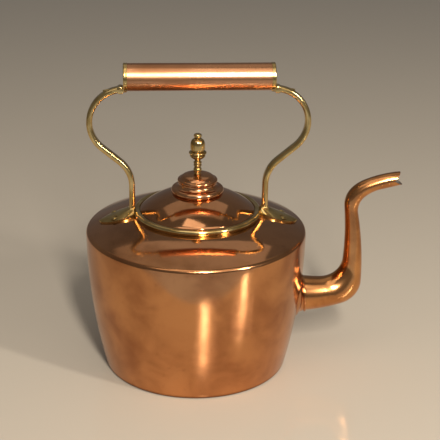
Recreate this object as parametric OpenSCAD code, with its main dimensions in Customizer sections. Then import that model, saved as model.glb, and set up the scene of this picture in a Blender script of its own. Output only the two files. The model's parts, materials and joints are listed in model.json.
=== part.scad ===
// Copper kettle with a swan-neck spout, a lift-off lid and a fixed brass handle.
// Millimetres, +Z up, spout towards +X. The origin is the middle of the base,
// on the surface that the kettle stands on.

/* [Body] */
// Radius of the body at its rim
rim_r = 102; // [100:0.5:106]
// Radius of the body just above its base
base_r = 85.5; // [83:0.5:90]
// Height at which the wall ends and the rim starts to turn in
rim_z = 131; // [128:0.5:134]
// How far the wall swells outwards between base and rim
wall_swell = 4.1; // [2:0.1:5]
// Thickness of the copper sheet
sheet = 1.4; // [1.2:0.1:1.6]
// Outer radius of the turned-in rim
rim_turn_r = 4; // [3:0.5:5]
// Outer radius of the edge where the wall turns in under the base
base_turn_r = 2.5; // [2:0.5:4]
// Slope of the shoulder, in degrees
shoulder_slope = 18; // [16:0.5:19]
// How far the shoulder is domed above a straight cone
shoulder_dome = 1.7; // [0.5:0.1:2]

/* [Neck and collar] */
// How far the neck stands off the middle, towards the spout
neck_x = 1; // [0:0.25:2]
// Radius of the bore that the lid drops into
neck_bore_r = 49.8; // [48:0.2:50]
// Outer radius of the brass collar's bead
collar_r = 58.8; // [58:0.2:60]
// Radius of the section of the collar's bead
collar_bead_r = 2.4; // [2:0.1:2.6]
// How deep the neck tube hangs below the lid's seat
neck_depth = 9; // [7:0.5:11]

/* [Lid] */
// Radius of the lid's edge
lid_r = 52.9; // [52:0.1:53.1]
// Radius of the sphere that the lid is domed to
lid_dome_r = 83; // [80:1:88]
// Thickness of the lid's sheet
lid_sheet = 1.2; // [1:0.1:1.4]
// Gap between the bezel under the lid and the neck's bore
bezel_gap = 0.4; // [0.3:0.1:0.6]
// How far the bezel hangs below the lid's edge
bezel_depth = 9; // [6:0.5:11]
// Gap between the lid's edge and its seat
seat_gap = 0.2; // [0.1:0.05:0.3]

/* [Boss and knob] */
// Outer radius of the lower bead of the boss
boss_r = 24.2; // [22:0.2:26]
// Radius of the bun on top of the boss
bun_r = 18.4; // [17:0.2:19]
// Height of the boss above the dome that it sits on
boss_h = 15; // [14:0.5:17]
// Radius of the acorn
acorn_r = 6.7; // [6:0.1:7.5]
// Radius of the acorn's cup
cup_r = 8.1; // [7.6:0.1:9]
// Height of the knob above the boss
knob_h = 38; // [35:0.5:40]
// Diameter of the stud that holds the knob
stud_d = 5; // [4:0.5:6]

/* [Spout] */
// Distance from the kettle's axis to the root of the spout
root_x = 103; // [102:0.5:105]
// Height of the spout's axis at its root
root_z = 64.9; // [62:0.5:68]
// Outer radius of the spout at its root
root_r = 16.9; // [16:0.1:17.5]
// Rise of the spout's axis at its root, in degrees
root_rise = 4; // [2:0.5:6]
// Thickness of the spout's wall
spout_wall = 1.2; // [1:0.1:1.4]
// Part of the beak's length at which the corners of its mouth lie
mouth_corner = 0.72; // [0.6:0.02:0.9]

/* [Handle] */
// How far the handle stands off the middle, towards the spout
handle_x = 2.2; // [0:0.1:3]
// Length of the grip over its caps
grip_len = 135.6; // [130:0.2:140]
// Outer diameter of the copper grip tube
grip_d = 24.8; // [23:0.2:26]
// Height of the grip's axis
grip_z = 278; // [274:0.5:284]
// Half the distance between the upright parts of the two arms
arm_x = 61.2; // [61:0.2:63]
// Thickness of an arm, seen from the front
arm_t = 5.4; // [5:0.2:6]
// Width of an arm, front to back
arm_w = 9; // [8:0.5:10]
// Radius of the upper lobe of an arm, at its middle
lobe_r = 31; // [29:0.5:33]
// Radius of the lower bend of an arm, at its middle
waist_r = 30; // [26:0.5:34]
// Width of the leaf-shaped foot of an arm
foot_w = 26; // [22:0.5:28]
// How far the foot's tip lies beyond the arm
foot_len = 32; // [28:0.5:34]

/* [Hidden] */
$fn = 180;

copper = "#b5693c";
brass = "#cfa553";

// The rim turns in until it meets the shoulder's slope
rim_turn = 90 - shoulder_slope;
rim_c = [rim_r - rim_turn_r, rim_z];
shoulder_start = rim_c + rim_turn_r * [cos(rim_turn), sin(rim_turn)];

// Neck tube, seat and bead of the collar
neck_or = neck_bore_r + 1.8;
shoulder_inner_r = neck_or - neck_x - 2;
seat_r = lid_r + 0.7;
bead_c_r = collar_r - collar_bead_r;
collar_foot_r = collar_r - 0.5;
bead_z = shoulder_z(bead_c_r) + 2.3;
seat_z = bead_z + 1.2;

// Lid: its edge, and the centre of its dome
lid_edge_z = seat_z + seat_gap;
lid_edge_t = 1;
dome_c = lid_edge_z + lid_edge_t - sqrt(lid_dome_r * lid_dome_r - lid_r * lid_r);
dome_top = dome_c + lid_dome_r;
boss_top = dome_top + boss_h;
stud_r = stud_d / 2;
stud_gap = 0.05;
washer_r = 8;
washer_gap = 0.05;
washer_bottom = dome_top - lid_sheet - 1.8;
nut_h = 4;
nut_corner_r = 4.6;

// Base plate and the lap of the wall under it
lap_r = base_r - base_turn_r;

// Legs of the spout's lower and upper edge, from its root to its lips, each [length, turn]
under_legs = [[38, 14], [29, 71], [69.5, 12], [19, -63], [16.5, -26], [19, 3]];
over_legs = [[16, 8], [32, 87], [53, 10], [20, -51], [13, -22], [34.5, -19]];
// How far the upper edge falls at its start, in degrees
over_fall = 9;
// Half the width of the spout, front to back, at the ends of those legs
spout_half = [root_r, 15, 9.8, 6.6, 7.3, 7.3, 7.5];
spout_sides = 24;
rings_per_leg = 5;
n_rings = len(under_legs) * rings_per_leg;
bore_r = root_r - spout_wall;
socket_len = 14;
socket_gap = 0.2;
ring_r = 1.3;
ring_back = 0.7;
flare_r = 6;
flare_z = 64.5;
flare_tilt = 7.2;

// Arm: lobe, straight diagonal and lower bend, relative to the handle's middle plane
lobe_c = [67.7, 236];
lobe_top = 84;
lobe_end = -50;
waist_turn = -lobe_end;
diagonal_start = lobe_c + lobe_r * [cos(lobe_end), sin(lobe_end)];
waist_start_x = arm_x + waist_r * (1 - cos(waist_turn));
diagonal_len = (diagonal_start.x - waist_start_x) / sin(waist_turn);
waist_z = diagonal_start.y - diagonal_len * cos(waist_turn) - waist_r * sin(waist_turn);
waist_c = [arm_x + waist_r, waist_z];
foot_top_z = 154.8;
arm_tang = 6;
lug_r = 3.4;
lug_bite = 0.8;
tab_root_x = 70.5;
tab_root_z = 269.4;
tab_back = 3;
tab_blunt = 1.2;
tab_len = 17;
tab_w = 11;
tab_t = 2.8;
tab_dip = 10;

// Grip: end discs, skirts and the tube between them
cap_t = 1.6;
cap_skirt = 3.6;
cap_r = grip_d / 2 + 0.4;
grip_wall = 1.2;

// Foot: the leaf starts behind the arm and ends at its tip
leaf_back = 10;
foot_crown = 6;
foot_edge = 1.4;
foot_dip = 5;
rivet_x = 17;
rivet_y = 8;
rivet_r = 1.6;
rivet_head_r = 3;
rivet_head_h = 1.3;
rivet_seat = 2.6;

// Outer radius of the wall at height z
function wall_r(z) =
    let (k = z / rim_z)
    base_r + (rim_r - base_r) * k + wall_swell * 4 * k * (1 - k);

// Height of the shoulder's outer face at radius r: a cone, domed between the rim and the collar
function shoulder_z(r) =
    let (k = (shoulder_start.x - r) / (shoulder_start.x - collar_foot_r))
    shoulder_start.y + (shoulder_start.x - r) * tan(shoulder_slope) + shoulder_dome * 4 * k * (1 - k);

// Points along the shoulder's outer face, from one radius to another
function shoulder_line(from, to, steps = 10) =
    [for (i = [0 : steps]) let (r = from + (to - from) * i / steps) [r, shoulder_z(r)]];

// Points of an arc in a profile
function arc(c, r, from, to, steps = 12) =
    [for (i = [0 : steps]) let (a = from + (to - from) * i / steps) c + r * [cos(a), sin(a)]];

// A small bead in a turned profile
function bead(inner, z, r) = arc([inner, z], r, -70, 70, 4);

// One step along an edge of the spout: state is [x, z, heading], leg is [length, turn]
function along(state, leg, u) =
    let (
        length = leg[0] * u,
        turn = leg[1] * u,
        chord = abs(turn) < 0.01 ? length : length * sin(turn / 2) / (turn / 2 * PI / 180),
        heading = state[2] + turn / 2
    )
    [state[0] + chord * cos(heading), state[1] + chord * sin(heading), state[2] + turn];

// State at the start of leg i
function leg_start(first, legs, i) =
    i == 0 ? first : along(leg_start(first, legs, i - 1), legs[i - 1], 1);

root_n = [-sin(root_rise), cos(root_rise)];
under_first = [root_x - root_r * root_n.x, root_z - root_r * root_n.y, root_rise];
over_first = [root_x + root_r * root_n.x, root_z + root_r * root_n.y, -over_fall];
under_starts = [for (i = [0 : len(under_legs) - 1]) leg_start(under_first, under_legs, i)];
over_starts = [for (i = [0 : len(over_legs) - 1]) leg_start(over_first, over_legs, i)];

// Point on the spout: leg i, part u of it, angle a from the top, and inset from the skin
function spout_point(i, u, a, inset) =
    let (
        p = along(under_starts[i], under_legs[i], u),
        q = along(over_starts[i], over_legs[i], u),
        middle = [p[0] + q[0], p[1] + q[1]] / 2,
        across = [q[0] - p[0], q[1] - p[1]] / 2,
        reach = (norm(across) - inset) / norm(across) * cos(a),
        half = spout_half[i] + (spout_half[i + 1] - spout_half[i]) * u
    )
    [middle.x + across.x * reach, (half - inset) * sin(a), middle.y + across.y * reach];

// Ring k of the tube. The last leg is cut back at its sides, which opens the beak's mouth
function spout_ring_points(k, inset) =
    let (
        i = min(floor(k / rings_per_leg), len(under_legs) - 1),
        u = k / rings_per_leg - i,
        last = i == len(under_legs) - 1
    )
    [for (s = [0 : spout_sides - 1])
        let (
            a = 360 * s / spout_sides,
            cut = last ? mouth_corner + (1 - mouth_corner) * abs(cos(a)) : 1
        )
        spout_point(i, u * cut, a, inset)];

// Triangles between ring k and ring k + 1 of a stack of rings
function band(first, k, n) =
    [for (s = [0 : n - 1])
        let (
            a = first + k * n + s,
            b = first + k * n + (s + 1) % n,
            c = a + n,
            d = b + n
        )
        each [[a, b, d], [a, d, c]]];

// Triangles of the flat lip between an outer and an inner ring
function lip(outer, inner, n) =
    [for (s = [0 : n - 1])
        let (t = (s + 1) % n)
        each [[outer + s, outer + t, inner + t], [outer + s, inner + t, inner + s]]];

function flip(triangles) = [for (t = triangles) [t[0], t[2], t[1]]];

// ---------- Shared shapes ----------

// Everything inside the outer skin of the wall
module wall_core() {
    heights = [for (i = [-4 : 20]) rim_z * i / 20];
    rotate_extrude()
        polygon(concat(
            [[0, heights[0]]],
            [for (z = heights) [wall_r(z), z]],
            [[0, rim_z]]
        ));
}

// Everything under the outer face of the shoulder
module shoulder_core() {
    rotate_extrude()
        polygon(concat(
            [[0, rim_z - 20], [rim_r, rim_z - 20], [rim_r, shoulder_z(rim_r)]],
            shoulder_line(shoulder_start.x, shoulder_inner_r),
            [[0, shoulder_z(shoulder_inner_r)]]
        ));
}

// The frame of the spout's root: +Z runs out along the spout
module at_root() {
    translate([root_x, 0, root_z])
        rotate([0, 90 - root_rise, 0])
            children();
}

// The frame of one side of the handle: +X runs outwards from its middle
module handle_side(side) {
    translate([handle_x, 0, 0])
        mirror([side < 0 ? 1 : 0, 0, 0])
            children();
}

// The frame of one foot: +X runs down the shoulder, which it touches at the rivets
module on_foot(side) {
    along = rivet_x * cos(shoulder_slope);
    level = shoulder_z(arm_x + side * handle_x + along) + along * tan(shoulder_slope);
    handle_side(side)
        translate([arm_x, 0, level])
            rotate([0, shoulder_slope, 0])
                children();
}

// ---------- Body ----------

module body_wall() {
    heights = [for (i = [0 : 24]) base_turn_r + (rim_z - base_turn_r) * i / 24];
    foot_c = [wall_r(base_turn_r) - base_turn_r, base_turn_r];
    outer = concat(
        arc(foot_c, base_turn_r, -90, 0, 6),
        [for (z = heights) [wall_r(z), z]],
        arc(rim_c, rim_turn_r, 0, rim_turn)
    );
    inner = concat(
        arc(rim_c, rim_turn_r - sheet, rim_turn, 0),
        [for (i = [24 : -1 : 0]) [wall_r(heights[i]) - sheet, heights[i]]],
        [[foot_c.x + base_turn_r - sheet, sheet], [lap_r, sheet], [lap_r, 0]]
    );
    color(copper)
        difference() {
            rotate_extrude() polygon(concat(outer, inner));
            at_root() translate([0, 0, -2 * socket_len]) cylinder(r = bore_r, h = 3 * socket_len);
        }
}

module base_plate() {
    color(copper)
        cylinder(r = lap_r, h = sheet);
}

module shoulder_plate() {
    inward = sheet * [cos(rim_turn), sin(rim_turn)];
    under = [for (p = shoulder_line(shoulder_inner_r, shoulder_start.x)) p - inward];
    color(copper)
        difference() {
            rotate_extrude()
                polygon(concat(shoulder_line(shoulder_start.x, shoulder_inner_r), under));
            translate([neck_x, 0, rim_z]) cylinder(r = neck_or, h = 40);
            rivet_holes();
        }
}

module rivet_holes() {
    for (side = [-1, 1], y = [-rivet_y, rivet_y])
        on_foot(side)
            translate([rivet_x, y, -3]) cylinder(r = rivet_r, h = 10);
}

module lid_collar() {
    sunk = 0.7;
    profile = concat(
        [
            [neck_bore_r, seat_z - neck_depth],
            [neck_or, seat_z - neck_depth],
            [neck_or, shoulder_z(neck_or) - sunk],
            [collar_foot_r, shoulder_z(collar_foot_r) - sunk]
        ],
        arc([bead_c_r, bead_z], collar_bead_r, -35, 130),
        [
            [seat_r, seat_z + 0.8],
            [seat_r, seat_z],
            [neck_bore_r, seat_z]
        ]
    );
    color(brass)
        difference() {
            translate([neck_x, 0, 0]) rotate_extrude() polygon(profile);
            shoulder_plate();
        }
}

// ---------- Spout ----------

// A straight land under the ring, and a flare that spreads on to the wall
module spout_socket() {
    land_r = root_r + socket_gap;
    flare_end = ring_back + ring_r + 0.05;
    reach = 50;
    flare_c = [land_r + flare_r, flare_r];
    flare = concat(
        [[0, -flare_r], [flare_c.x + flare_r / 2, -flare_r]],
        arc(flare_c, flare_r, 255, 196, 8),
        [[0, flare_c.y - flare_r * sin(16)]]
    );
    color(copper)
        difference() {
            union() {
                at_root() translate([0, 0, -socket_len]) cylinder(r = land_r, h = socket_len);
                intersection() {
                    translate([wall_r(flare_z), 0, flare_z])
                        rotate([0, 90 + flare_tilt, 0])
                            rotate_extrude() polygon(flare);
                    at_root() translate([0, 0, -flare_end - reach]) cylinder(r = reach, h = reach);
                }
            }
            wall_core();
            at_root() translate([0, 0, -2 * socket_len]) cylinder(r = bore_r, h = 3 * socket_len);
        }
}

// A half-round bead over the joint of the socket and the tube
module spout_ring() {
    seat = root_r + 0.2;
    color(copper)
        at_root()
            difference() {
                translate([0, 0, -ring_back])
                    rotate_extrude() translate([seat, 0]) circle(r = ring_r, $fn = 24);
                translate([0, 0, -3 * ring_r]) cylinder(r = seat, h = 6 * ring_r);
            }
}

module spout_tube() {
    n = spout_sides;
    skin = [for (k = [0 : n_rings]) each spout_ring_points(k, 0)];
    bore = [for (k = [0 : n_rings]) each spout_ring_points(k, spout_wall)];
    start = len(skin);
    outside = [for (k = [0 : n_rings - 1]) each band(0, k, n)];
    inside = [for (k = [0 : n_rings - 1]) each band(start, k, n)];
    root_lip = lip(0, start, n);
    mouth_lip = lip(n_rings * n, start + n_rings * n, n);
    color(copper)
        polyhedron(
            points = concat(skin, bore),
            faces = concat(outside, flip(inside), flip(root_lip), mouth_lip)
        );
}

// ---------- Handle ----------

// Edge of an arm at a distance outside its middle line, from the grip down to the foot
function arm_edge(d) =
    concat(
        [lobe_c + (lobe_r + d) * [cos(lobe_top), sin(lobe_top)] + arm_tang * [-sin(lobe_top), cos(lobe_top)]],
        arc(lobe_c, lobe_r + d, lobe_top, lobe_end, 24),
        arc(waist_c, waist_r - d, 180 - waist_turn, 180, 10),
        [[arm_x + d, foot_top_z]]
    );

function reversed(points) = [for (i = [len(points) - 1 : -1 : 0]) points[i]];

// A pointed leaf outline whose tips lie at x = 0 and x = length
module leaf_outline(length, width) {
    r = (length * length / 4 + width * width / 4) / width;
    intersection_for(side = [-1, 1])
        translate([length / 2, side * (r - width / 2)]) circle(r = r);
}

module arm_shape() {
    lug_z = lobe_c.y + lobe_r * sin(lobe_top);
    difference() {
        union() {
            rotate([90, 0, 0])
                linear_extrude(height = arm_w, center = true)
                    polygon(concat(arm_edge(arm_t / 2), reversed(arm_edge(-arm_t / 2))));
            translate([grip_len / 2 + lug_r - lug_bite, 0, lug_z])
                rotate([90, 0, 0]) cylinder(r = lug_r, h = arm_w + 1, center = true);
            leaf_tab();
        }
        translate([grip_len / 2 - 20, -20, grip_z - 30]) cube([20, 40, 60]);
    }
}

// The leaf that lies along the top of the arm beside the grip
module leaf_tab() {
    translate([tab_root_x, 0, tab_root_z])
        rotate([0, tab_dip, 0])
            translate([-tab_len, 0, -tab_t])
                intersection() {
                    linear_extrude(height = tab_t) leaf_outline(2 * tab_len, tab_w);
                    translate([tab_len - tab_back, -tab_w, 0])
                        cube([tab_len + tab_back - tab_blunt, 2 * tab_w, tab_t]);
                }
}

module handle_arm_left() {
    color(brass) handle_side(-1) arm_shape();
}

module handle_arm_right() {
    color(brass) handle_side(1) arm_shape();
}

module foot_shape(side) {
    crown_r = (foot_w * foot_w / 4 + pow(foot_crown - foot_edge, 2)) / (2 * (foot_crown - foot_edge));
    difference() {
        union() {
            on_foot(side)
                intersection() {
                    translate([-leaf_back, 0, -3])
                        linear_extrude(height = 14) leaf_outline(leaf_back + foot_len, foot_w);
                    translate([-2, 0, foot_crown - crown_r])
                        rotate([0, 90 + foot_dip, 0]) cylinder(r = crown_r, h = 2 * foot_len);
                }
            handle_side(side)
                translate([arm_x, 0, foot_top_z - 12])
                    linear_extrude(height = 12) foot_block();
        }
        shoulder_core();
        translate([neck_x, 0, rim_z]) cylinder(r = collar_r + 0.1, h = 40);
        on_foot(side)
            for (y = [-rivet_y, rivet_y])
                translate([rivet_x, y, 0]) {
                    translate([0, 0, -3]) cylinder(r = rivet_r, h = 10);
                    translate([0, 0, rivet_seat]) cylinder(r = rivet_head_r + 0.2, h = 10);
                }
    }
}

// Outline of the small block that an arm stands on, with round corners
module foot_block() {
    corner = 2;
    x = arm_t / 2 + 1;
    y = arm_w / 2 + 1;
    square([2 * x, 2 * (y - corner)], center = true);
    square([2 * (x - corner), 2 * y], center = true);
    for (i = [-1, 1], j = [-1, 1])
        translate([i * (x - corner), j * (y - corner)]) circle(r = corner, $fn = 32);
}

module handle_foot_left() {
    color(brass) foot_shape(-1);
}

module handle_foot_right() {
    color(brass) foot_shape(1);
}

// A round rivet head: a cap of a sphere on a flat seat
module rivet_head() {
    r = (rivet_head_r * rivet_head_r + rivet_head_h * rivet_head_h) / (2 * rivet_head_h);
    intersection() {
        translate([0, 0, rivet_head_h - r]) sphere(r = r, $fn = 48);
        cylinder(r = rivet_head_r + 1, h = rivet_head_h + 1);
    }
}

module foot_rivets(side) {
    color(brass)
        on_foot(side)
            for (y = [-rivet_y, rivet_y])
                translate([rivet_x, y, 0]) {
                    translate([0, 0, rivet_seat]) rivet_head();
                    translate([0, 0, -sheet - 0.5]) cylinder(r = rivet_r, h = rivet_seat + sheet + 0.5);
                    translate([0, 0, -sheet - 0.5]) mirror([0, 0, 1]) rivet_head();
                }
}

module foot_rivets_left() {
    foot_rivets(-1);
}

module foot_rivets_right() {
    foot_rivets(1);
}

// The frame of the grip: +Z runs along it, from the middle towards the spout
module along_grip() {
    translate([handle_x, 0, grip_z])
        rotate([0, 90, 0])
            children();
}

module grip_tube() {
    length = grip_len - 2 * cap_t;
    color(copper)
        along_grip()
            difference() {
                cylinder(r = grip_d / 2, h = length, center = true);
                cylinder(r = grip_d / 2 - grip_wall, h = length + 2, center = true);
            }
}

// One cap: an end disc with a rounded edge, and a skirt round the end of the tube
module grip_cap(side) {
    edge_r = 1;
    end = grip_len / 2;
    profile = concat(
        [
            [0, end - cap_t],
            [grip_d / 2, end - cap_t],
            [grip_d / 2, end - cap_skirt],
            [cap_r, end - cap_skirt]
        ],
        arc([cap_r - edge_r, end - edge_r], edge_r, 0, 90, 6),
        [[0, end]]
    );
    color(brass)
        along_grip()
            mirror([0, 0, side < 0 ? 1 : 0])
                rotate_extrude() polygon(profile);
}

module grip_cap_left() {
    grip_cap(-1);
}

module grip_cap_right() {
    grip_cap(1);
}

// ---------- Lid ----------

// The dome is a cap of a sphere with a small flat edge that rests on the collar's seat
module lid_dome() {
    inner_r = lid_dome_r - lid_sheet;
    edge_top = lid_edge_z + lid_edge_t;
    edge_angle = acos(lid_r / lid_dome_r);
    hole_angle = acos((stud_r + stud_gap) / lid_dome_r);
    land_r = sqrt(inner_r * inner_r - pow(lid_edge_z - dome_c, 2)) - 0.6;
    land_angle = acos(land_r / inner_r);
    hole_angle_in = acos((stud_r + stud_gap) / inner_r);
    profile = concat(
        [[land_r, lid_edge_z], [lid_r, lid_edge_z], [lid_r, edge_top]],
        arc([0, dome_c], lid_dome_r, edge_angle, hole_angle, 24),
        arc([0, dome_c], inner_r, hole_angle_in, land_angle, 24)
    );
    color(copper)
        translate([neck_x, 0, 0])
            rotate_extrude() polygon(profile);
}

module lid_bezel() {
    outer = neck_bore_r - bezel_gap;
    inner = outer - lid_sheet;
    under_r = lid_dome_r - lid_sheet;
    bottom = lid_edge_z - bezel_depth;
    color(copper)
        translate([neck_x, 0, 0])
            rotate_extrude()
                polygon([
                    [inner, bottom],
                    [outer, bottom],
                    [outer, dome_c + sqrt(under_r * under_r - outer * outer)],
                    [inner, dome_c + sqrt(under_r * under_r - inner * inner)]
                ]);
}

// Spun boss: a bead on the dome, a cove, and a bun that carries the knob
module lid_boss() {
    bead = 3;
    bead_c = [boss_r - bead, dome_c + sqrt(lid_dome_r * lid_dome_r - pow(boss_r - bead, 2)) + 2];
    ring = 1.9;
    ring_c = [bun_r - ring, boss_top - 6.5];
    cove = 4;
    bun_h = 6.5;
    hole = stud_r + stud_gap;
    foot_angle = acos((bead_c.x + 1.5) / lid_dome_r);
    profile = concat(
        arc([0, dome_c], lid_dome_r, acos(hole / lid_dome_r), foot_angle, 16),
        arc(bead_c, bead, -50, 95),
        arc([ring_c.x + cove + 0.6, bead_c.y + bead + cove], cove, 260, 185, 8),
        arc(ring_c, ring, -70, 70, 8),
        [for (i = [10 : -1 : 3])
            let (r = ring_c.x * i / 10.3)
            [r, ring_c.y + bun_h * sqrt(1 - pow(r / ring_c.x, 3.2))]],
        [[hole, boss_top]]
    );
    color(copper)
        translate([neck_x, 0, 0])
            rotate_extrude() polygon(profile);
}

// Turned acorn knob: foot, bulb, ringed stem, beaded cup, nut and button, with its stud
module acorn_knob() {
    foot_z = boss_top;
    tip = boss_top + knob_h;
    low = washer_bottom - nut_h - 1;
    stem_r = 2.8;
    stem_bead_r = 0.95;
    bulb_r = 3.3;
    cup_lip_r = 1.3;
    cup_lip_z = foot_z + 19.8;
    button_r = 2.1;
    acorn_low = foot_z + 22.5;
    acorn_high = tip - 4.4;
    widest = acorn_low + 3.5;
    stem = concat(
        [[0, low], [stud_r, low], [stud_r, foot_z], [3.2, foot_z]],
        arc([0.6, foot_z + 3.4], bulb_r, -60, 65, 8),
        bead(stem_r + 0.1, foot_z + 7.8, stem_bead_r),
        bead(stem_r + 0.1, foot_z + 10.4, stem_bead_r),
        [[stem_r, foot_z + 12.2]]
    );
    cup = concat(
        arc([stem_r - 1.2, foot_z + 20], 6.4, -70, -25, 4),
        arc([cup_r - cup_lip_r, cup_lip_z], cup_lip_r, -70, 80, 6)
    );
    acorn = concat(
        [[acorn_r - 0.6, acorn_low - 0.8], [acorn_r - 0.3, acorn_low]],
        [for (i = [0 : 10])
            let (k = i / 10)
            [acorn_r * sqrt(1 - 0.84 * pow(k, 3.2)), widest + (acorn_high - widest) * k]]
    );
    button = concat(
        [[button_r + 0.25, acorn_high + 0.3]],
        arc([button_r - 0.5, tip - button_r], button_r, -50, 90, 6)
    );
    color(brass)
        translate([neck_x, 0, 0])
            rotate_extrude() polygon(concat(stem, cup, acorn, button, [[0, tip]]));
}

module knob_washer() {
    hole = stud_r + stud_gap;
    under_r = lid_dome_r - lid_sheet - washer_gap;
    color(brass)
        translate([neck_x, 0, 0])
            rotate_extrude()
                polygon(concat(
                    [[hole, washer_bottom], [washer_r, washer_bottom]],
                    arc([0, dome_c], under_r, acos(washer_r / under_r), acos(hole / under_r), 3)
                ));
}

module knob_nut() {
    color(brass)
        translate([neck_x, 0, washer_bottom - nut_h])
            difference() {
                cylinder(r = nut_corner_r, h = nut_h, $fn = 6);
                translate([0, 0, -1]) cylinder(r = stud_r + stud_gap, h = nut_h + 2);
            }
}

body_wall();
base_plate();
shoulder_plate();
lid_collar();
spout_socket();
spout_ring();
spout_tube();
handle_arm_left();
handle_arm_right();
handle_foot_left();
handle_foot_right();
foot_rivets_left();
foot_rivets_right();
grip_tube();
grip_cap_left();
grip_cap_right();
lid_dome();
lid_bezel();
lid_boss();
acorn_knob();
knob_washer();
knob_nut();
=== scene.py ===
"""Looks of a round copper kettle with a swan-neck spout, a brass handle and a lift-off lid.

Lengths in the classes are in millimetres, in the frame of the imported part: +Z up, spout
towards +X, and the origin in the middle of the base. Every mesh is made in metres.
"""

import json
import logging
import math
from collections.abc import Callable, Iterator, Sequence
from contextlib import contextmanager
from dataclasses import dataclass, field
from enum import Enum
from itertools import pairwise
from typing import NamedTuple

import bmesh
import bpy
from mathutils import Matrix, Vector

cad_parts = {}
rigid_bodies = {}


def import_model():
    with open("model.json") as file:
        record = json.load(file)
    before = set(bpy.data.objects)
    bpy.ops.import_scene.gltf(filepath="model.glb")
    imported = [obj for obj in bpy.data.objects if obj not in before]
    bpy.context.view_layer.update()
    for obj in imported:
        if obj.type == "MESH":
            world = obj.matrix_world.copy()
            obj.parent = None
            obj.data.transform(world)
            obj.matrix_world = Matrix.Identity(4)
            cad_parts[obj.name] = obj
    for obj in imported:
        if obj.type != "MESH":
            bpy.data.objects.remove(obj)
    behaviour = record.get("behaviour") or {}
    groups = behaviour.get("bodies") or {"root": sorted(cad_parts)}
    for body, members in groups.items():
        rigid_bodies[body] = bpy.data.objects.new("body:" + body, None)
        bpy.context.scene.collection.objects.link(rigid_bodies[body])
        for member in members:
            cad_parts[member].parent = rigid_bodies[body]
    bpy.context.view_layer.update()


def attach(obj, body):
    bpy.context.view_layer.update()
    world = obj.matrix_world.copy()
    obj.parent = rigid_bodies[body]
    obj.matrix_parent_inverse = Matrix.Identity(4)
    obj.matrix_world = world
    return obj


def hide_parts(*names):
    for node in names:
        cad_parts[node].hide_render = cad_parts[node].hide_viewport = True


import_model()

MM = 0.001
# Vertices closer than this, in metres, are one vertex of a seam or of a sliver.
SEAM = 2e-6
SLIVER = 1e-5
Profile = list[tuple[float, float]]
Place = Callable[[Vector, Vector], bool]

log = logging.getLogger("kettle")


class Rides(Enum):
    """The bodies of the CAD model that a piece can move with."""

    KETTLE = "kettle"
    LID = "lid"


class Slot(Enum):
    """The material slots of the record."""

    COPPER = "copper"
    BRASS = "brass"


class Side(Enum):
    """The two sides of the handle, as the sign of their X. The spout is on the right."""

    LEFT = -1
    RIGHT = 1

    @property
    def word(self) -> str:
        """The side as the names of the nodes have it."""
        return self.name.lower()


# ---------- At the bench: selecting, shaping and joining ----------


def deselect() -> None:
    """Leaves nothing selected, so that the next operator acts only on what it is given."""
    for thing in bpy.context.view_layer.objects:
        thing.select_set(False)


def activate(piece: bpy.types.Object) -> None:
    """Makes one piece the only selected one and the active one.

    Args:
        piece: The piece that the next operator works on.
    """
    deselect()
    piece.select_set(True)
    bpy.context.view_layer.objects.active = piece


@contextmanager
def editing(piece: bpy.types.Object) -> Iterator[None]:
    """Opens a piece in edit mode with everything selected, and closes it again.

    Args:
        piece: The piece to work on.

    Yields:
        Nothing. The piece is in edit mode until the block ends.
    """
    activate(piece)
    bpy.ops.object.mode_set(mode="EDIT")
    bpy.ops.mesh.select_mode(type="VERT")
    bpy.ops.mesh.select_all(action="SELECT")
    try:
        yield
    finally:
        bpy.ops.object.mode_set(mode="OBJECT")


def settle(piece: bpy.types.Object) -> None:
    """Puts a piece's place into its mesh, so that its object sits at the origin."""
    activate(piece)
    bpy.ops.object.transform_apply(location=True, rotation=True, scale=True)


def put(piece: bpy.types.Object, place: Matrix) -> bpy.types.Object:
    """Moves a finished piece to its place in the kettle.

    Args:
        piece: The piece, made about the origin.
        place: Where it goes. It may mirror the piece.

    Returns:
        The same piece, with its faces pointing outwards.
    """
    piece.matrix_world = place
    settle(piece)
    if place.determinant() < 0:
        face_outwards(piece)
    return piece


def face_outwards(piece: bpy.types.Object) -> None:
    """Merges doubled vertices and turns every face outwards."""
    with editing(piece):
        bpy.ops.mesh.remove_doubles(threshold=SEAM)
        bpy.ops.mesh.normals_make_consistent(inside=False)


def close_up(piece: bpy.types.Object) -> None:
    """Closes the pinholes and slivers that cuts leave, so that a piece is watertight.

    Args:
        piece: The piece, after its last cut.
    """
    with editing(piece):
        bpy.ops.mesh.remove_doubles(threshold=SLIVER)
        bpy.ops.mesh.dissolve_degenerate(threshold=SLIVER)
        bpy.ops.mesh.select_all(action="SELECT")
        bpy.ops.mesh.fill_holes(sides=0)
        bpy.ops.mesh.select_all(action="SELECT")
        bpy.ops.mesh.delete_loose()
        bpy.ops.mesh.select_all(action="SELECT")
        bpy.ops.mesh.normals_make_consistent(inside=False)


def pick(piece: bpy.types.Object, wanted: Callable[[Vector], bool]) -> None:
    """Selects the vertices of the piece in edit mode that lie where they are wanted.

    Args:
        piece: The piece that is open in edit mode.
        wanted: Says of a place, in metres, whether its vertex is selected.
    """
    bpy.ops.mesh.select_mode(type="VERT")
    bpy.ops.mesh.select_all(action="DESELECT")
    mesh = bmesh.from_edit_mesh(piece.data)
    for vertex in mesh.verts:
        if wanted(vertex.co):
            vertex.select_set(True)
    mesh.select_flush_mode()
    bmesh.update_edit_mesh(piece.data)


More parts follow.
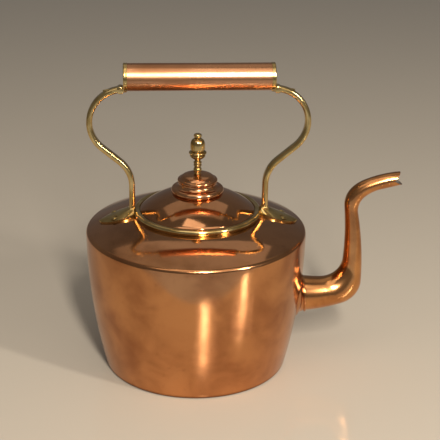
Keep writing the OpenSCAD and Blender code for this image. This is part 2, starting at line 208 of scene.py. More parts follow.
def pick_faces(piece: bpy.types.Object, wanted: Place) -> None:
    """Selects faces of the piece in edit mode by their middle and their normal.

    Args:
        piece: The piece that is open in edit mode.
        wanted: Says of a face's middle and normal whether it is selected.
    """
    bpy.ops.mesh.select_mode(type="FACE")
    bpy.ops.mesh.select_all(action="DESELECT")
    mesh = bmesh.from_edit_mesh(piece.data)
    for face in mesh.faces:
        if wanted(face.calc_center_median(), face.normal):
            face.select_set(True)
    mesh.select_flush_mode()
    bmesh.update_edit_mesh(piece.data)


def extrude(step: Vector) -> None:
    """Extrudes what is selected by a step, in metres."""
    bpy.ops.mesh.extrude_region_move(TRANSFORM_OT_translate={"value": step})


def start_point(name: str, at: Vector) -> bpy.types.Object:
    """Starts a piece as one vertex: a small plane, merged at its middle.

    Args:
        name: The piece's name.
        at: The place of the vertex, in metres.

    Returns:
        The new piece.
    """
    deselect()
    bpy.ops.mesh.primitive_plane_add(size=MM, location=at)
    piece = bpy.context.object
    piece.name = name
    with editing(piece):
        bpy.ops.mesh.merge(type="CENTER")
    settle(piece)
    return piece


def start_rod(
    radius: float, length: float, sides: int, at: tuple[float, float, float] = (0, 0, 0)
) -> bpy.types.Object:
    """Starts a piece as an upright rod.

    Args:
        radius: Its radius, in millimetres.
        length: Its length, in millimetres.
        sides: How many faces go round it.
        at: Its middle, in millimetres.

    Returns:
        The new piece.
    """
    deselect()
    bpy.ops.mesh.primitive_cylinder_add(
        vertices=sides, radius=radius * MM, depth=length * MM, location=Vector(at) * MM
    )
    return bpy.context.object


def start_section(
    name: str, wide: float, deep: float, corner: float, segments: int
) -> bpy.types.Object:
    """Starts a piece as one flat rectangle with rounded corners, about the origin.

    Args:
        name: The piece's name.
        wide: Its size along X, in millimetres.
        deep: Its size along Y, in millimetres.
        corner: How far the rounding of a corner reaches along its edges, in millimetres.
        segments: How many parts a corner is drawn in.

    Returns:
        The new piece.
    """
    deselect()
    bpy.ops.mesh.primitive_plane_add(size=MM)
    piece = bpy.context.object
    piece.name = name
    with editing(piece):
        bpy.ops.transform.resize(value=(wide, deep, 1), center_override=(0, 0, 0))
        bpy.ops.mesh.bevel(offset=corner * MM, segments=segments, affect="VERTICES")
    return piece


def trace(name: str, points: Sequence[Vector]) -> bpy.types.Object:
    """Starts a piece as one line of edges, and leaves it so.

    Args:
        name: The piece's name.
        points: The line's points, in metres.

    Returns:
        The new piece.
    """
    piece = start_point(name, points[0])
    with editing(piece):
        for before, after in pairwise(points):
            extrude(after - before)
    return piece


def turned(name: str, profile: Profile, axis_x: float = 0.0, steps: int = 128) -> bpy.types.Object:
    """Turns a profile about an upright axis, as on a lathe or a spinning chuck.

    Args:
        name: The piece's name.
        profile: Radius and height of each point, in order along the outline.
        axis_x: Where the axis stands along X.
        steps: How many faces go round the piece.

    Returns:
        A closed piece with its faces outwards.
    """
    piece = trace(name, [Vector((axis_x + r, 0.0, z)) * MM for r, z in profile])
    with editing(piece):
        bpy.ops.mesh.spin(
            steps=steps, angle=math.tau, center=(axis_x * MM, 0, 0), axis=(0, 0, 1)
        )
    face_outwards(piece)
    return piece


def apply_modifier(piece: bpy.types.Object, kind: str, **settings: object) -> None:
    """Adds one modifier with its settings and applies it.

    Args:
        piece: The piece.
        kind: The modifier's type.
        settings: The modifier's own properties.
    """
    activate(piece)
    bpy.ops.object.modifier_add(type=kind)
    modifier = piece.modifiers[-1]
    for key, value in settings.items():
        setattr(modifier, key, value)
    bpy.ops.object.modifier_apply(modifier=modifier.name)


def cut_away(piece: bpy.types.Object, cutter: bpy.types.Object) -> None:
    """Cuts one closed shape out of a piece and throws the cutter away."""
    apply_modifier(piece, "BOOLEAN", operation="DIFFERENCE", solver="EXACT", object=cutter)
    bpy.data.objects.remove(cutter)


def fuse(piece: bpy.types.Object, other: bpy.types.Object) -> None:
    """Joins a second closed shape to a piece as one skin."""
    apply_modifier(piece, "BOOLEAN", operation="UNION", solver="EXACT", object=other)
    bpy.data.objects.remove(other)


def joined(name: str, pieces: Sequence[bpy.types.Object]) -> bpy.types.Object:
    """Makes one object of several separate solids.

    Args:
        name: The name of the whole.
        pieces: The solids. The first one's object becomes the whole's.

    Returns:
        The whole.
    """
    activate(pieces[0])
    for piece in pieces:
        piece.select_set(True)
    bpy.ops.object.join()
    pieces[0].name = name
    return pieces[0]


def copied(piece: bpy.types.Object, name: str) -> bpy.types.Object:
    """Copies a piece with a mesh of its own.

    Args:
        piece: The piece to copy.
        name: The copy's name.

    Returns:
        The copy.
    """
    activate(piece)
    bpy.ops.object.duplicate(linked=False)
    twin = bpy.context.object
    twin.name = name
    return twin


def smooth(piece: bpy.types.Object, angle: float = 32.0) -> None:
    """Shades a piece smooth, but keeps its edges sharper than the angle in degrees."""
    activate(piece)
    bpy.ops.object.shade_smooth_by_angle(angle=math.radians(angle))


def arc(
    centre: tuple[float, float], radius: float, start: float, end: float, steps: int = 12
) -> Profile:
    """Points of an arc in a profile.

    Args:
        centre: Radius and height of the arc's centre.
        radius: The arc's own radius.
        start: Angle of its first point, in degrees.
        end: Angle of its last point, in degrees.
        steps: How many parts it is drawn in.

    Returns:
        The points in order.
    """
    return [
        (centre[0] + radius * math.cos(a), centre[1] + radius * math.sin(a))
        for a in (math.radians(start + (end - start) * i / steps) for i in range(steps + 1))
    ]


# ---------- Finishes ----------


def linear(value: str) -> tuple[float, float, float, float]:
    """Turns an sRGB hex colour to the linear colour that a shader takes.

    Args:
        value: The colour as #rrggbb.

    Returns:
        Linear red, green and blue, and an alpha of 1.
    """
    parts = [int(value[i : i + 2], 16) / 255 for i in (1, 3, 5)]
    r, g, b = (p / 12.92 if p <= 0.04045 else ((p + 0.055) / 1.055) ** 2.4 for p in parts)
    return r, g, b, 1.0


def add_node(
    material: bpy.types.Material,
    kind: str,
    links: dict[str | int, bpy.types.NodeSocket] | None = None,
    values: dict[str | int, object] | None = None,
    **settings: object,
) -> bpy.types.Node:
    """Adds one node to a material.

    Args:
        material: The material that gets the node.
        kind: The node's type.
        links: Outputs of other nodes, by the name or number of the input they feed.
        values: Fixed values, by the name or number of their input.
        settings: The node's own properties.

    Returns:
        The new node.
    """
    node = material.node_tree.nodes.new(kind)
    for key, value in settings.items():
        setattr(node, key, value)
    for key, value in (values or {}).items():
        node.inputs[key].default_value = value
    for key, socket in (links or {}).items():
        material.node_tree.links.new(socket, node.inputs[key])
    return node


class Grain(Enum):
    """Which way the polishing cloth went, as the scale of a stretched noise along X, Y and Z."""

    ROUND = (0.03, 0.03, 1.0)
    ALONG = (0.04, 1.0, 1.0)
    NONE = (1.0, 1.0, 1.0)


@dataclass(frozen=True)
class PolishedMetal:
    """A hand-polished sheet or casting: bright where the cloth reaches, warm and dull elsewhere.

    The clean and tarnished colours lie in soft blotches. Polishing lines give the highlights
    their soft long edges, shallow dents make the reflections waver, and a few faint stains
    stop the surface from looking new. Each size is that of one feature, in millimetres.

    Attributes:
        name: The real finish's name.
        clean: Colour where the polish is fresh.
        tarnish: Colour where it has gone dull.
        shade_colour: Colour of the painted shade in creases and of the painted contact shadow low
            on the wall.
        rough: Roughness of the clean metal.
        rough_dull: Roughness of the tarnished metal.
        streak: How much the polishing lines add to or take from the roughness.
        blotch_mm: Size of the patches of tarnish.
        blotch_edge: The values of the blotch noise between which the tarnish sets in.
        stain: How strongly the small stains show, from 0 to 1.
        stain_mm: Size of a stain.
        stain_edge: The values of the stain noise between which a stain sets in.
        line_mm: Width of the polishing lines.
        line_depth_mm: Their depth.
        dent_mm: Size of the shallow dents.
        dent_depth_mm: Their depth.
        planish_mm: Size of the marks of the planishing hammer.
        planish_depth_mm: Their depth.
        grain: Which way the cloth went.
        brushed: How far the highlights are drawn out across the lines, from 0 to 1.
        crease: How strongly painted shade darkens the creases, from 0 to 1.
        painted_shade_below_mm: Height above the base up to which the wall is darkened by a painted
            contact shadow, if it is.
    """

    name: str
    clean: str
    tarnish: str
    shade_colour: str
    rough: float = 0.12
    rough_dull: float = 0.24
    streak: float = 0.03
    blotch_mm: float = 38.0
    blotch_edge: tuple[float, float] = (0.32, 0.78)
    stain: float = 0.22
    stain_mm: float = 6.0
    stain_edge: tuple[float, float] = (0.60, 0.76)
    line_mm: float = 0.7
    line_depth_mm: float = 0.003
    dent_mm: float = 26.0
    dent_depth_mm: float = 0.06
    planish_mm: float = 7.0
    planish_depth_mm: float = 0.004
    grain: Grain = Grain.ROUND
    brushed: float = 0.0
    crease: float = 0.0
    painted_shade_below_mm: float | None = None

    def build(self) -> bpy.types.Material:
        """Makes the material.

        Returns:
            A metal whose colour, roughness and bump all follow the same wear.
        """
        made = bpy.data.materials.new(self.name)
        made.use_nodes = True
        made.node_tree.nodes.clear()
        place = add_node(made, "ShaderNodeTexCoord").outputs["Object"]
        wiped = add_node(
            made, "ShaderNodeMapping", {"Vector": place}, {"Scale": self.grain.value}
        ).outputs["Vector"]
        lines = self.noise(made, wiped, self.line_mm, detail=3.0)
        worn = self.worn(made, place)
        colour = self.mixed(made, worn, linear(self.clean), linear(self.tarnish))
        rough = self.mapped(made, worn, self.rough, self.rough_dull)
        streaks = self.mapped(made, lines, -self.streak, self.streak)
        rough = add_node(made, "ShaderNodeMath", {0: rough, 1: streaks}, operation="ADD").outputs[0]
        shader = add_node(
            made,
            "ShaderNodeBsdfPrincipled",
            {
                "Base Color": self.darkened(made, colour, place),
                "Roughness": rough,
                "Normal": self.relief(made, place, lines),
            },
            {"Metallic": 1.0, "Anisotropic": self.brushed},
        )
        if self.brushed:
            round_axis = add_node(made, "ShaderNodeTangent", direction_type="RADIAL", axis="Z")
            made.node_tree.links.new(round_axis.outputs[0], shader.inputs["Tangent"])
        add_node(made, "ShaderNodeOutputMaterial", {"Surface": shader.outputs["BSDF"]})
        return made

    def worn(
        self, made: bpy.types.Material, place: bpy.types.NodeSocket
    ) -> bpy.types.NodeSocket:
        """How worn the polish is: 0 where the metal is clean and 1 where it is tarnished.

        Args:
            made: The material.
            place: Object coordinates.

        Returns:
            Soft blotches with a few faint stains on them.
        """
        blotches = self.noise(made, place, self.blotch_mm, detail=4.0, distortion=0.4)
        tarnished = self.between(made, blotches, *self.blotch_edge)
        spots = self.noise(made, place, self.stain_mm, detail=5.0)
        stains = self.mapped(made, self.between(made, spots, *self.stain_edge), 0.0, self.stain)
        return add_node(
            made, "ShaderNodeMath", {0: tarnished, 1: stains}, operation="ADD", use_clamp=True
        ).outputs[0]

    def mixed(
        self,
        made: bpy.types.Material,
        factor: bpy.types.NodeSocket,
        low: bpy.types.NodeSocket | tuple[float, ...],
        high: tuple[float, ...],
    ) -> bpy.types.NodeSocket:
        """A colour between low and high.

        Args:
            made: The material.
            factor: 0 for the low colour and 1 for the high one.
            low: A fixed colour, or the output of another node.
            high: A fixed colour.

        Returns:
            The mixed colour.
        """
        links: dict[str | int, bpy.types.NodeSocket] = {0: factor}
        values: dict[str | int, object] = {7: high}
        if isinstance(low, bpy.types.NodeSocket):
            links[6] = low
        else:
            values[6] = low
        return add_node(made, "ShaderNodeMix", links, values, data_type="RGBA").outputs[2]

    def mapped(
        self, made: bpy.types.Material, value: bpy.types.NodeSocket, low: float, high: float
    ) -> bpy.types.NodeSocket:
        """A value that ran from 0 to 1, made to run from low to high."""
        return add_node(
            made, "ShaderNodeMapRange", {"Value": value}, {"To Min": low, "To Max": high}
        ).outputs["Result"]

    def noise(
        self,
        made: bpy.types.Material,
        place: bpy.types.NodeSocket,
        size_mm: float,
        detail: float = 2.0,
        distortion: float = 0.0,
    ) -> bpy.types.NodeSocket:
        """A noise whose features are about size_mm across."""
        return add_node(
            made,
            "ShaderNodeTexNoise",
            {"Vector": place},
            {"Scale": 1 / (size_mm * MM), "Detail": detail, "Distortion": distortion},
        ).outputs[0]

    def between(
        self, made: bpy.types.Material, value: bpy.types.NodeSocket, low: float, high: float
    ) -> bpy.types.NodeSocket:
        """A smooth step of a value from 0 at low to 1 at high."""
        return add_node(
            made,
            "ShaderNodeMapRange",
            {"Value": value},
            {"From Min": low, "From Max": high},
            interpolation_type="SMOOTHSTEP",
        ).outputs["Result"]

    def relief(
        self, made: bpy.types.Material, place: bpy.types.NodeSocket, lines: bpy.types.NodeSocket
    ) -> bpy.types.NodeSocket:
        """Dents, planishing marks and polishing lines, each to its real depth.

        Args:
            made: The material.
            place: Object coordinates.
            lines: The stretched noise of the polishing lines.

        Returns:
            The bumped normal.
        """
        marks = add_node(
            made,
            "ShaderNodeTexVoronoi",
            {"Vector": place},
            {"Scale": 1 / (self.planish_mm * MM), "Smoothness": 1.0},
            feature="SMOOTH_F1",
        ).outputs["Distance"]
        dents = self.noise(made, place, self.dent_mm, detail=1.0)
        normal = None
        for height, depth_mm in (
            (dents, self.dent_depth_mm),
            (marks, self.planish_depth_mm),
            (lines, self.line_depth_mm),
        ):
            links = {"Height": height} if normal is None else {"Height": height, "Normal": normal}
            normal = add_node(
                made, "ShaderNodeBump", links, {"Strength": 1.0, "Distance": depth_mm * MM}
            ).outputs["Normal"]
        return normal

    def darkened(
        self,
        made: bpy.types.Material,
        colour: bpy.types.NodeSocket,
        place: bpy.types.NodeSocket,
    ) -> bpy.types.NodeSocket:
        """Paints shade into the colour: in the creases, and as a contact shadow low down on the
        wall.

        Args:
            made: The material.
            colour: The colour of the clean and tarnished metal.
            place: Object coordinates.

        Returns:
            The colour with the painted shade over it.
        """
        if self.crease:
            # Pointiness is 0.5 on a flat face and lower in a hollow.
            sunk = add_node(made, "ShaderNodeNewGeometry").outputs["Pointiness"]
            # Painted shade: the hollows take the darker colour.
            mask = self.between(made, sunk, 0.494, 0.5 - 0.09 * self.crease)
            colour = self.mixed(made, mask, colour, linear(self.shade_colour))
        if self.painted_shade_below_mm is not None:
            # Painted contact shadow: the wall darkens towards its lowest millimetres.
            height = add_node(made, "ShaderNodeSeparateXYZ", {0: place}).outputs["Z"]
            mask = self.between(made, height, self.painted_shade_below_mm * MM, 0.0)
            colour = self.mixed(made, mask, colour, linear(self.shade_colour))
        return colour


# Copper sheet, raised and planished by hand, then polished round and round: warm and glossy.
# Its lowest 4 mm are darkened by a painted contact shadow.
BODY_COPPER = PolishedMetal(
    "copper_planished_polished", "#cc905f", "#a26a44", "#5a2f18", brushed=0.55, painted_shade_below_mm=4.0
)
# Copper of the shoulder and the lid, polished to a mirror and a little wavy from the hammer.
SHOULDER_COPPER = PolishedMetal(
    "copper_shoulder_mirror",
    "#cf9468",
    "#a9744c",
    "#4b2c18",
    rough=0.07,
    rough_dull=0.16,
    dent_mm=20.0,
    dent_depth_mm=0.09,
    stain=0.3,
)
# Copper spun on a chuck: close even lines round the boss, and painted shade in its creases.
SPUN_COPPER = PolishedMetal(
    "copper_spun",
    "#d59a6c",
    "#a87048",
    "#4a2c17",
    rough=0.16,
    blotch_mm=14.0,
    dent_mm=7.0,
    dent_depth_mm=0.04,
    crease=1.0,
)
# Copper tube, drawn and bent, and wiped along its length.
TUBE_COPPER = PolishedMetal(
    "copper_tube_polished",
    "#d6985f",
    "#b07446",
    "#4b2c18",
    rough=0.17,
    blotch_mm=20.0,
    grain=Grain.NONE,
    dent_mm=16.0,
    dent_depth_mm=0.04,
    planish_depth_mm=0.0015,
)
# Copper of the grip, rubbed smooth by hands.
GRIP_COPPER = PolishedMetal(
    "copper_grip_rubbed",
    "#d0956b",
    "#b27a53",
    "#4b2c18",
    rough=0.26,
    rough_dull=0.34,
    grain=Grain.ALONG,
    dent_mm=18.0,
    dent_depth_mm=0.03,
)
# Copper that stands on the hob: scratched and dull.
HOB_COPPER = PolishedMetal(
    "copper_base_dull", "#a9683f", "#6b4025", "#2a1a10", rough=0.32, rough_dull=0.55, stain=0.6
)
# Cast and filed brass, polished on its crowns, with painted shade in its corners.
CAST_BRASS = PolishedMetal(
    "brass_cast_polished",
    "#dcbe80",
    "#a98748",
    "#54401c",
    rough=0.15,
    rough_dull=0.28,
    blotch_mm=16.0,
    dent_mm=9.0,
    dent_depth_mm=0.03,
    planish_mm=2.5,
    planish_depth_mm=0.004,
    grain=Grain.NONE,
    crease=1.0,
)
# Brass turned in a lathe, with sharp bright rings and painted shade in its grooves.
TURNED_BRASS = PolishedMetal(
    "brass_turned_polished",
    "#e0c185",
    "#ad8b4b",
    "#4d3814",
    rough=0.12,
    blotch_mm=12.0,
    dent_mm=9.0,
    dent_depth_mm=0.015,
    line_mm=0.35,
    line_depth_mm=0.002,
    planish_depth_mm=0.0,
    crease=1.0,
)
# Tin wiped on by hand inside the copper: grey, soft and streaky.
TINNING = PolishedMetal(
    "tin_wiped_lining",
    "#c4c0b8",
    "#8d8a83",
    "#55524c",
    rough=0.34,
    rough_dull=0.5,
    blotch_mm=20.0,
    line_mm=3.0,
    line_depth_mm=0.02,
)


class Finishes:
    """The finishes, each made once and shared by the pieces that have it."""

    def __init__(self) -> None:
        """Starts with nothing made."""
        self.made: dict[str, bpy.types.Material] = {}

    def get(self, finish: PolishedMetal) -> bpy.types.Material:
        """Gives the material of a finish, made when it is first asked for.

        Args:
            finish: The finish.

        Returns:
            Its one material.
        """
        if finish.name not in self.made:
            self.made[finish.name] = finish.build()
        return self.made[finish.name]

    def dress(
        self,
        piece: bpy.types.Object,
        outside: PolishedMetal,
        inside: PolishedMetal | None = None,
        is_inside: Place | None = None,
    ) -> None:
        """Gives a piece its finish, and a second one to its inner faces.

        Args:
            piece: The piece.
            outside: The finish that it has all over.
            inside: The finish of its inner faces.
            is_inside: Says of a face's middle and normal whether it is an inner one.
        """
        piece.data.materials.clear()
        piece.data.materials.append(self.get(outside))
        if inside is None:
            return
        piece.data.materials.append(self.get(inside))
        if is_inside is None:
            return
        with editing(piece):
            pick_faces(piece, is_inside)
            piece.active_material_index = 1
            bpy.ops.object.material_slot_assign()


FINISHES = Finishes()


def hand_over(piece: bpy.types.Object, node: str, body: Rides) -> None:
    """Makes a piece stand for its CAD node and ride on its body.

    Args:
        piece: The finished piece.
        node: The CAD node that it stands for.
        body: The body that it moves with.
    """
    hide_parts(node)
    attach(piece, body.value)
    log.info("%s: %d faces, on %s", piece.name, len(piece.data.polygons), body.value)


# ---------- Body ----------


@dataclass
class Body:
    """The raised wall, its base, the sloping shoulder and the brass collar round the neck.

    Attributes:
        rim_r: Radius of the wall at the turn of its rim.
        base_r: Radius of the wall at the base.
        rim_z: Height of the middle of the rim's turn.
        swell: How far the wall swells out half-way up.
        sheet: Thickness of the sheet.
        rim_turn_r: Outer radius of the turn at the rim.
        base_turn_r: Outer radius of the turn at the base.
        slope: Slope of the shoulder, in degrees.
        dome: How far the shoulder rises above a straight cone.
        neck_x: How far the neck's axis stands from the body's, towards the spout.
        neck_bore_r: Radius of the bore of the neck.
        neck_wall: Thickness of the neck tube.
        collar_r: Outer radius of the collar.
        bead_r: Radius of the collar's bead.
        bead_lift: Height of the bead's middle above the shoulder.
        neck_depth: How far the neck tube goes down below the seat.
        seat_r: Radius of the seat of the lid.
        seat_lift: Height of the seat above the bead's middle.
        solder: The hair of solder between the collar and the shoulder.
        base_step: Height of each hammered step of the base.
        base_ring: How far in from the lap each edge of the base's steps lies.
        turned_steps: How many faces go round the large turned pieces.
    """

    rim_r: float = 102.0
    base_r: float = 85.5
    rim_z: float = 131.0
    swell: float = 4.1
    sheet: float = 1.4
    rim_turn_r: float = 4.0
    base_turn_r: float = 2.5
    slope: float = 18.0
    dome: float = 1.7
    neck_x: float = 1.0
    neck_bore_r: float = 49.8
    neck_wall: float = 1.8
    collar_r: float = 58.8
    bead_r: float = 2.4
    bead_lift: float = 2.3
    neck_depth: float = 9.0
    seat_r: float = 53.6
    seat_lift: float = 1.2
    solder: float = 0.12
    base_step: float = 0.25
    base_ring: tuple[float, float, float, float] = (32.0, 30.0, 16.0, 13.5)
    turned_steps: int = 192

    @property
    def shoulder_start(self) -> tuple[float, float]:
        """Where the turned-in rim ends and the shoulder begins."""
        turn = math.radians(90 - self.slope)
        return (
            self.rim_r - self.rim_turn_r + self.rim_turn_r * math.cos(turn),
            self.rim_z + self.rim_turn_r * math.sin(turn),
        )

    @property
    def neck_or(self) -> float:
        """Outer radius of the neck tube."""
        return self.neck_bore_r + self.neck_wall

    @property
    def foot_r(self) -> float:
        """Radius at which the collar's foot meets the shoulder."""
        return self.collar_r - 0.5

    @property
    def bead_z(self) -> float:
        """Height of the middle of the collar's bead."""
        return self.shoulder_z(self.collar_r - self.bead_r) + self.bead_lift

    @property
    def seat_z(self) -> float:
        """Height of the seat that the lid rests on."""
        return self.bead_z + self.seat_lift

    def wall_r(self, z: float) -> float:
        """Outer radius of the wall at a height."""
        k = z / self.rim_z
        return self.base_r + (self.rim_r - self.base_r) * k + self.swell * 4 * k * (1 - k)

    def shoulder_z(self, r: float) -> float:
        """Gives the height of the shoulder's outer face: a cone, domed up to the collar.

        Args:
            r: The radius from the body's axis.

        Returns:
            The height above the table.
        """
        start_r, start_z = self.shoulder_start
        k = (start_r - r) / (start_r - self.foot_r)
        cone = start_z + (start_r - r) * math.tan(math.radians(self.slope))
        return cone + self.dome * 4 * k * (1 - k)

    def faces_in(self, at: Vector, normal: Vector) -> bool:
        """Whether a face of the wall looks in at the axis."""
        return normal.x * at.x + normal.y * at.y < -0.3 * math.hypot(at.x, at.y)

    def wall(self, bore: bpy.types.Object) -> bpy.types.Object:
        """Raises the wall, from its lap under the base to the turned-in rim.

        Args:
            bore: The shape of the hole that the spout opens into.

        Returns:
            The wall as a closed sheet.
        """
        low, bands = self.base_turn_r, 36
        heights = [low + (self.rim_z - low) * i / bands for i in range(bands + 1)]
        foot = (self.wall_r(low) - low, low)
        rim = (self.rim_r - self.rim_turn_r, self.rim_z)
        lap = self.base_r - self.base_turn_r
        outer = arc(foot, low, -90, 0, 8) + [(self.wall_r(z), z) for z in heights[1:-1]]
        outer += arc(rim, self.rim_turn_r, 0, 90 - self.slope, 10)
        inner = arc(rim, self.rim_turn_r - self.sheet, 90 - self.slope, 0, 8)
        inner += [(self.wall_r(z) - self.sheet, z) for z in reversed(heights[1:-1])]
        inner += [(foot[0] + low - self.sheet, self.sheet), (lap, self.sheet), (lap, 0.0)]
        piece = turned("wall_sheet", outer + inner + outer[:1], steps=self.turned_steps)
        cut_away(piece, bore)
        smooth(piece)
        FINISHES.dress(piece, BODY_COPPER, TINNING, self.faces_in)
        return piece

    def base(self) -> bpy.types.Object:
        """Cuts the base disc and gives it the hammered ring that stiffens it.

        Returns:
            The base as a closed disc.
        """
        lap, top, step = self.base_r - self.base_turn_r, self.sheet, self.base_step
        middle, ring_in, ring_out, land = (lap - inwards for inwards in self.base_ring)
        profile = [(0.0, step), (middle, step), (ring_in, 2 * step), (ring_out, 2 * step)]
        profile += [(land, 0.0), (lap, 0.0), (lap, top), (0.0, top)]
        piece = turned("base_disc", profile, steps=self.turned_steps)
        smooth(piece)
        FINISHES.dress(piece, HOB_COPPER, TINNING, lambda at, normal: normal.z > 0.5)
        return piece

    def shoulder(self) -> bpy.types.Object:
        """Lays the shoulder between the rim and the neck.

        Returns:
            The shoulder as a closed sheet with the hole of the neck in it.
        """
        turn = math.radians(90 - self.slope)
        down = (-self.sheet * math.cos(turn), -self.sheet * math.sin(turn))
        start_r, _ = self.shoulder_start
        # The sheet runs on past the neck, which then cuts its own hole off the axis.
        overlap, rings = 2.0, 24
        inner_r = self.neck_or - self.neck_x - overlap
        radii = [start_r + (inner_r - start_r) * i / rings for i in range(rings + 1)]
        outer = [(r, self.shoulder_z(r)) for r in radii]
        inner = [(r + down[0], z + down[1]) for r, z in reversed(outer)]
        piece = turned("shoulder_sheet", outer + inner + outer[:1], steps=self.turned_steps)
        neck_at = (self.neck_x, 0.0, self.rim_z + 10)
        cut_away(piece, start_rod(self.neck_or, 60.0, self.turned_steps, neck_at))
        smooth(piece)
        FINISHES.dress(piece, SHOULDER_COPPER, TINNING, lambda at, normal: normal.z < -0.5)
        return piece

    def collar(self) -> bpy.types.Object:
        """Turns the brass collar: neck tube, seat of the lid and the bead round it.

        Returns:
            The collar as a closed ring.
        """
        seat, bore = self.seat_z, self.neck_bore_r
        riser, lip, chamfer = 0.7, 0.7, 0.4
        profile = [
            (bore, seat - self.neck_depth),
            (self.neck_or, seat - self.neck_depth),
            (self.neck_or, self.shoulder_z(self.neck_or) - self.sheet),
            (self.neck_or, self.shoulder_z(self.neck_or) + self.solder),
            (self.foot_r, self.shoulder_z(self.foot_r - self.neck_x) + self.solder),
            (self.foot_r + 0.05, self.shoulder_z(self.foot_r) + riser),
        ]
        profile += arc((self.collar_r - self.bead_r, self.bead_z), self.bead_r, -28, 118, 16)
        # The bead rolls over a small round lip down to the seat of the lid.
        profile += [(self.seat_r + 0.75, seat + lip + 0.45), (self.seat_r + 0.2, seat + lip + 0.3)]
        profile += [(self.seat_r, seat + lip), (self.seat_r, seat)]
        profile += [(bore + chamfer, seat), (bore, seat - chamfer)]
        piece = turned("collar_ring", profile + profile[:1], self.neck_x, self.turned_steps)
        smooth(piece)
        FINISHES.dress(piece, TURNED_BRASS)
        return piece

    def top_core(self) -> bpy.types.Object:
        """The room that the shoulder and the collar take, for cutting the feet to fit.

        Returns:
            A closed cutter.
        """
        # The cutter reaches beyond the rim, below it and above the collar, clear of every foot.
        beyond, below, above, step = 6, 30, 60, 2
        low, out = self.rim_z - below, self.rim_r + beyond
        radii = range(int(self.rim_r) + beyond, int(self.neck_or) - 4, -step)
        cone = [(0.0, low), (out, low)] + [(float(r), self.shoulder_z(r)) for r in radii]
        cone += [(0.0, cone[-1][1])]
        cutter = turned("shoulder_cutter", cone, steps=self.turned_steps)
        # The feet keep a hair clear of the collar.
        ring_r, high = self.collar_r + 0.1, self.rim_z + above
        ring = [(0.0, self.rim_z), (ring_r, self.rim_z), (ring_r, high), (0.0, high)]
        fuse(cutter, turned("collar_cutter", ring, self.neck_x, self.turned_steps))
        return cutter

    def build(self, spout: "Spout") -> None:
        """Makes the pieces of the body and hands each over to its CAD node.

        Args:
            spout: The spout, whose bore goes through the wall.
        """
        hand_over(self.wall(spout.bore_cutter()), "body_wall", Rides.KETTLE)
        hand_over(self.base(), "base_plate", Rides.KETTLE)
        hand_over(self.shoulder(), "shoulder_plate", Rides.KETTLE)
        hand_over(self.collar(), "lid_collar", Rides.KETTLE)


# ---------- Spout ----------


class Section(NamedTuple):
    """One oval section of the spout, in millimetres and radians.

    Attributes:
        middle: Its middle.
        tall: Half its height.
        wide: Half its width.
        tilt: How far its height leans from +Z.
    """

    middle: Vector
    tall: float
    wide: float
    tilt: float


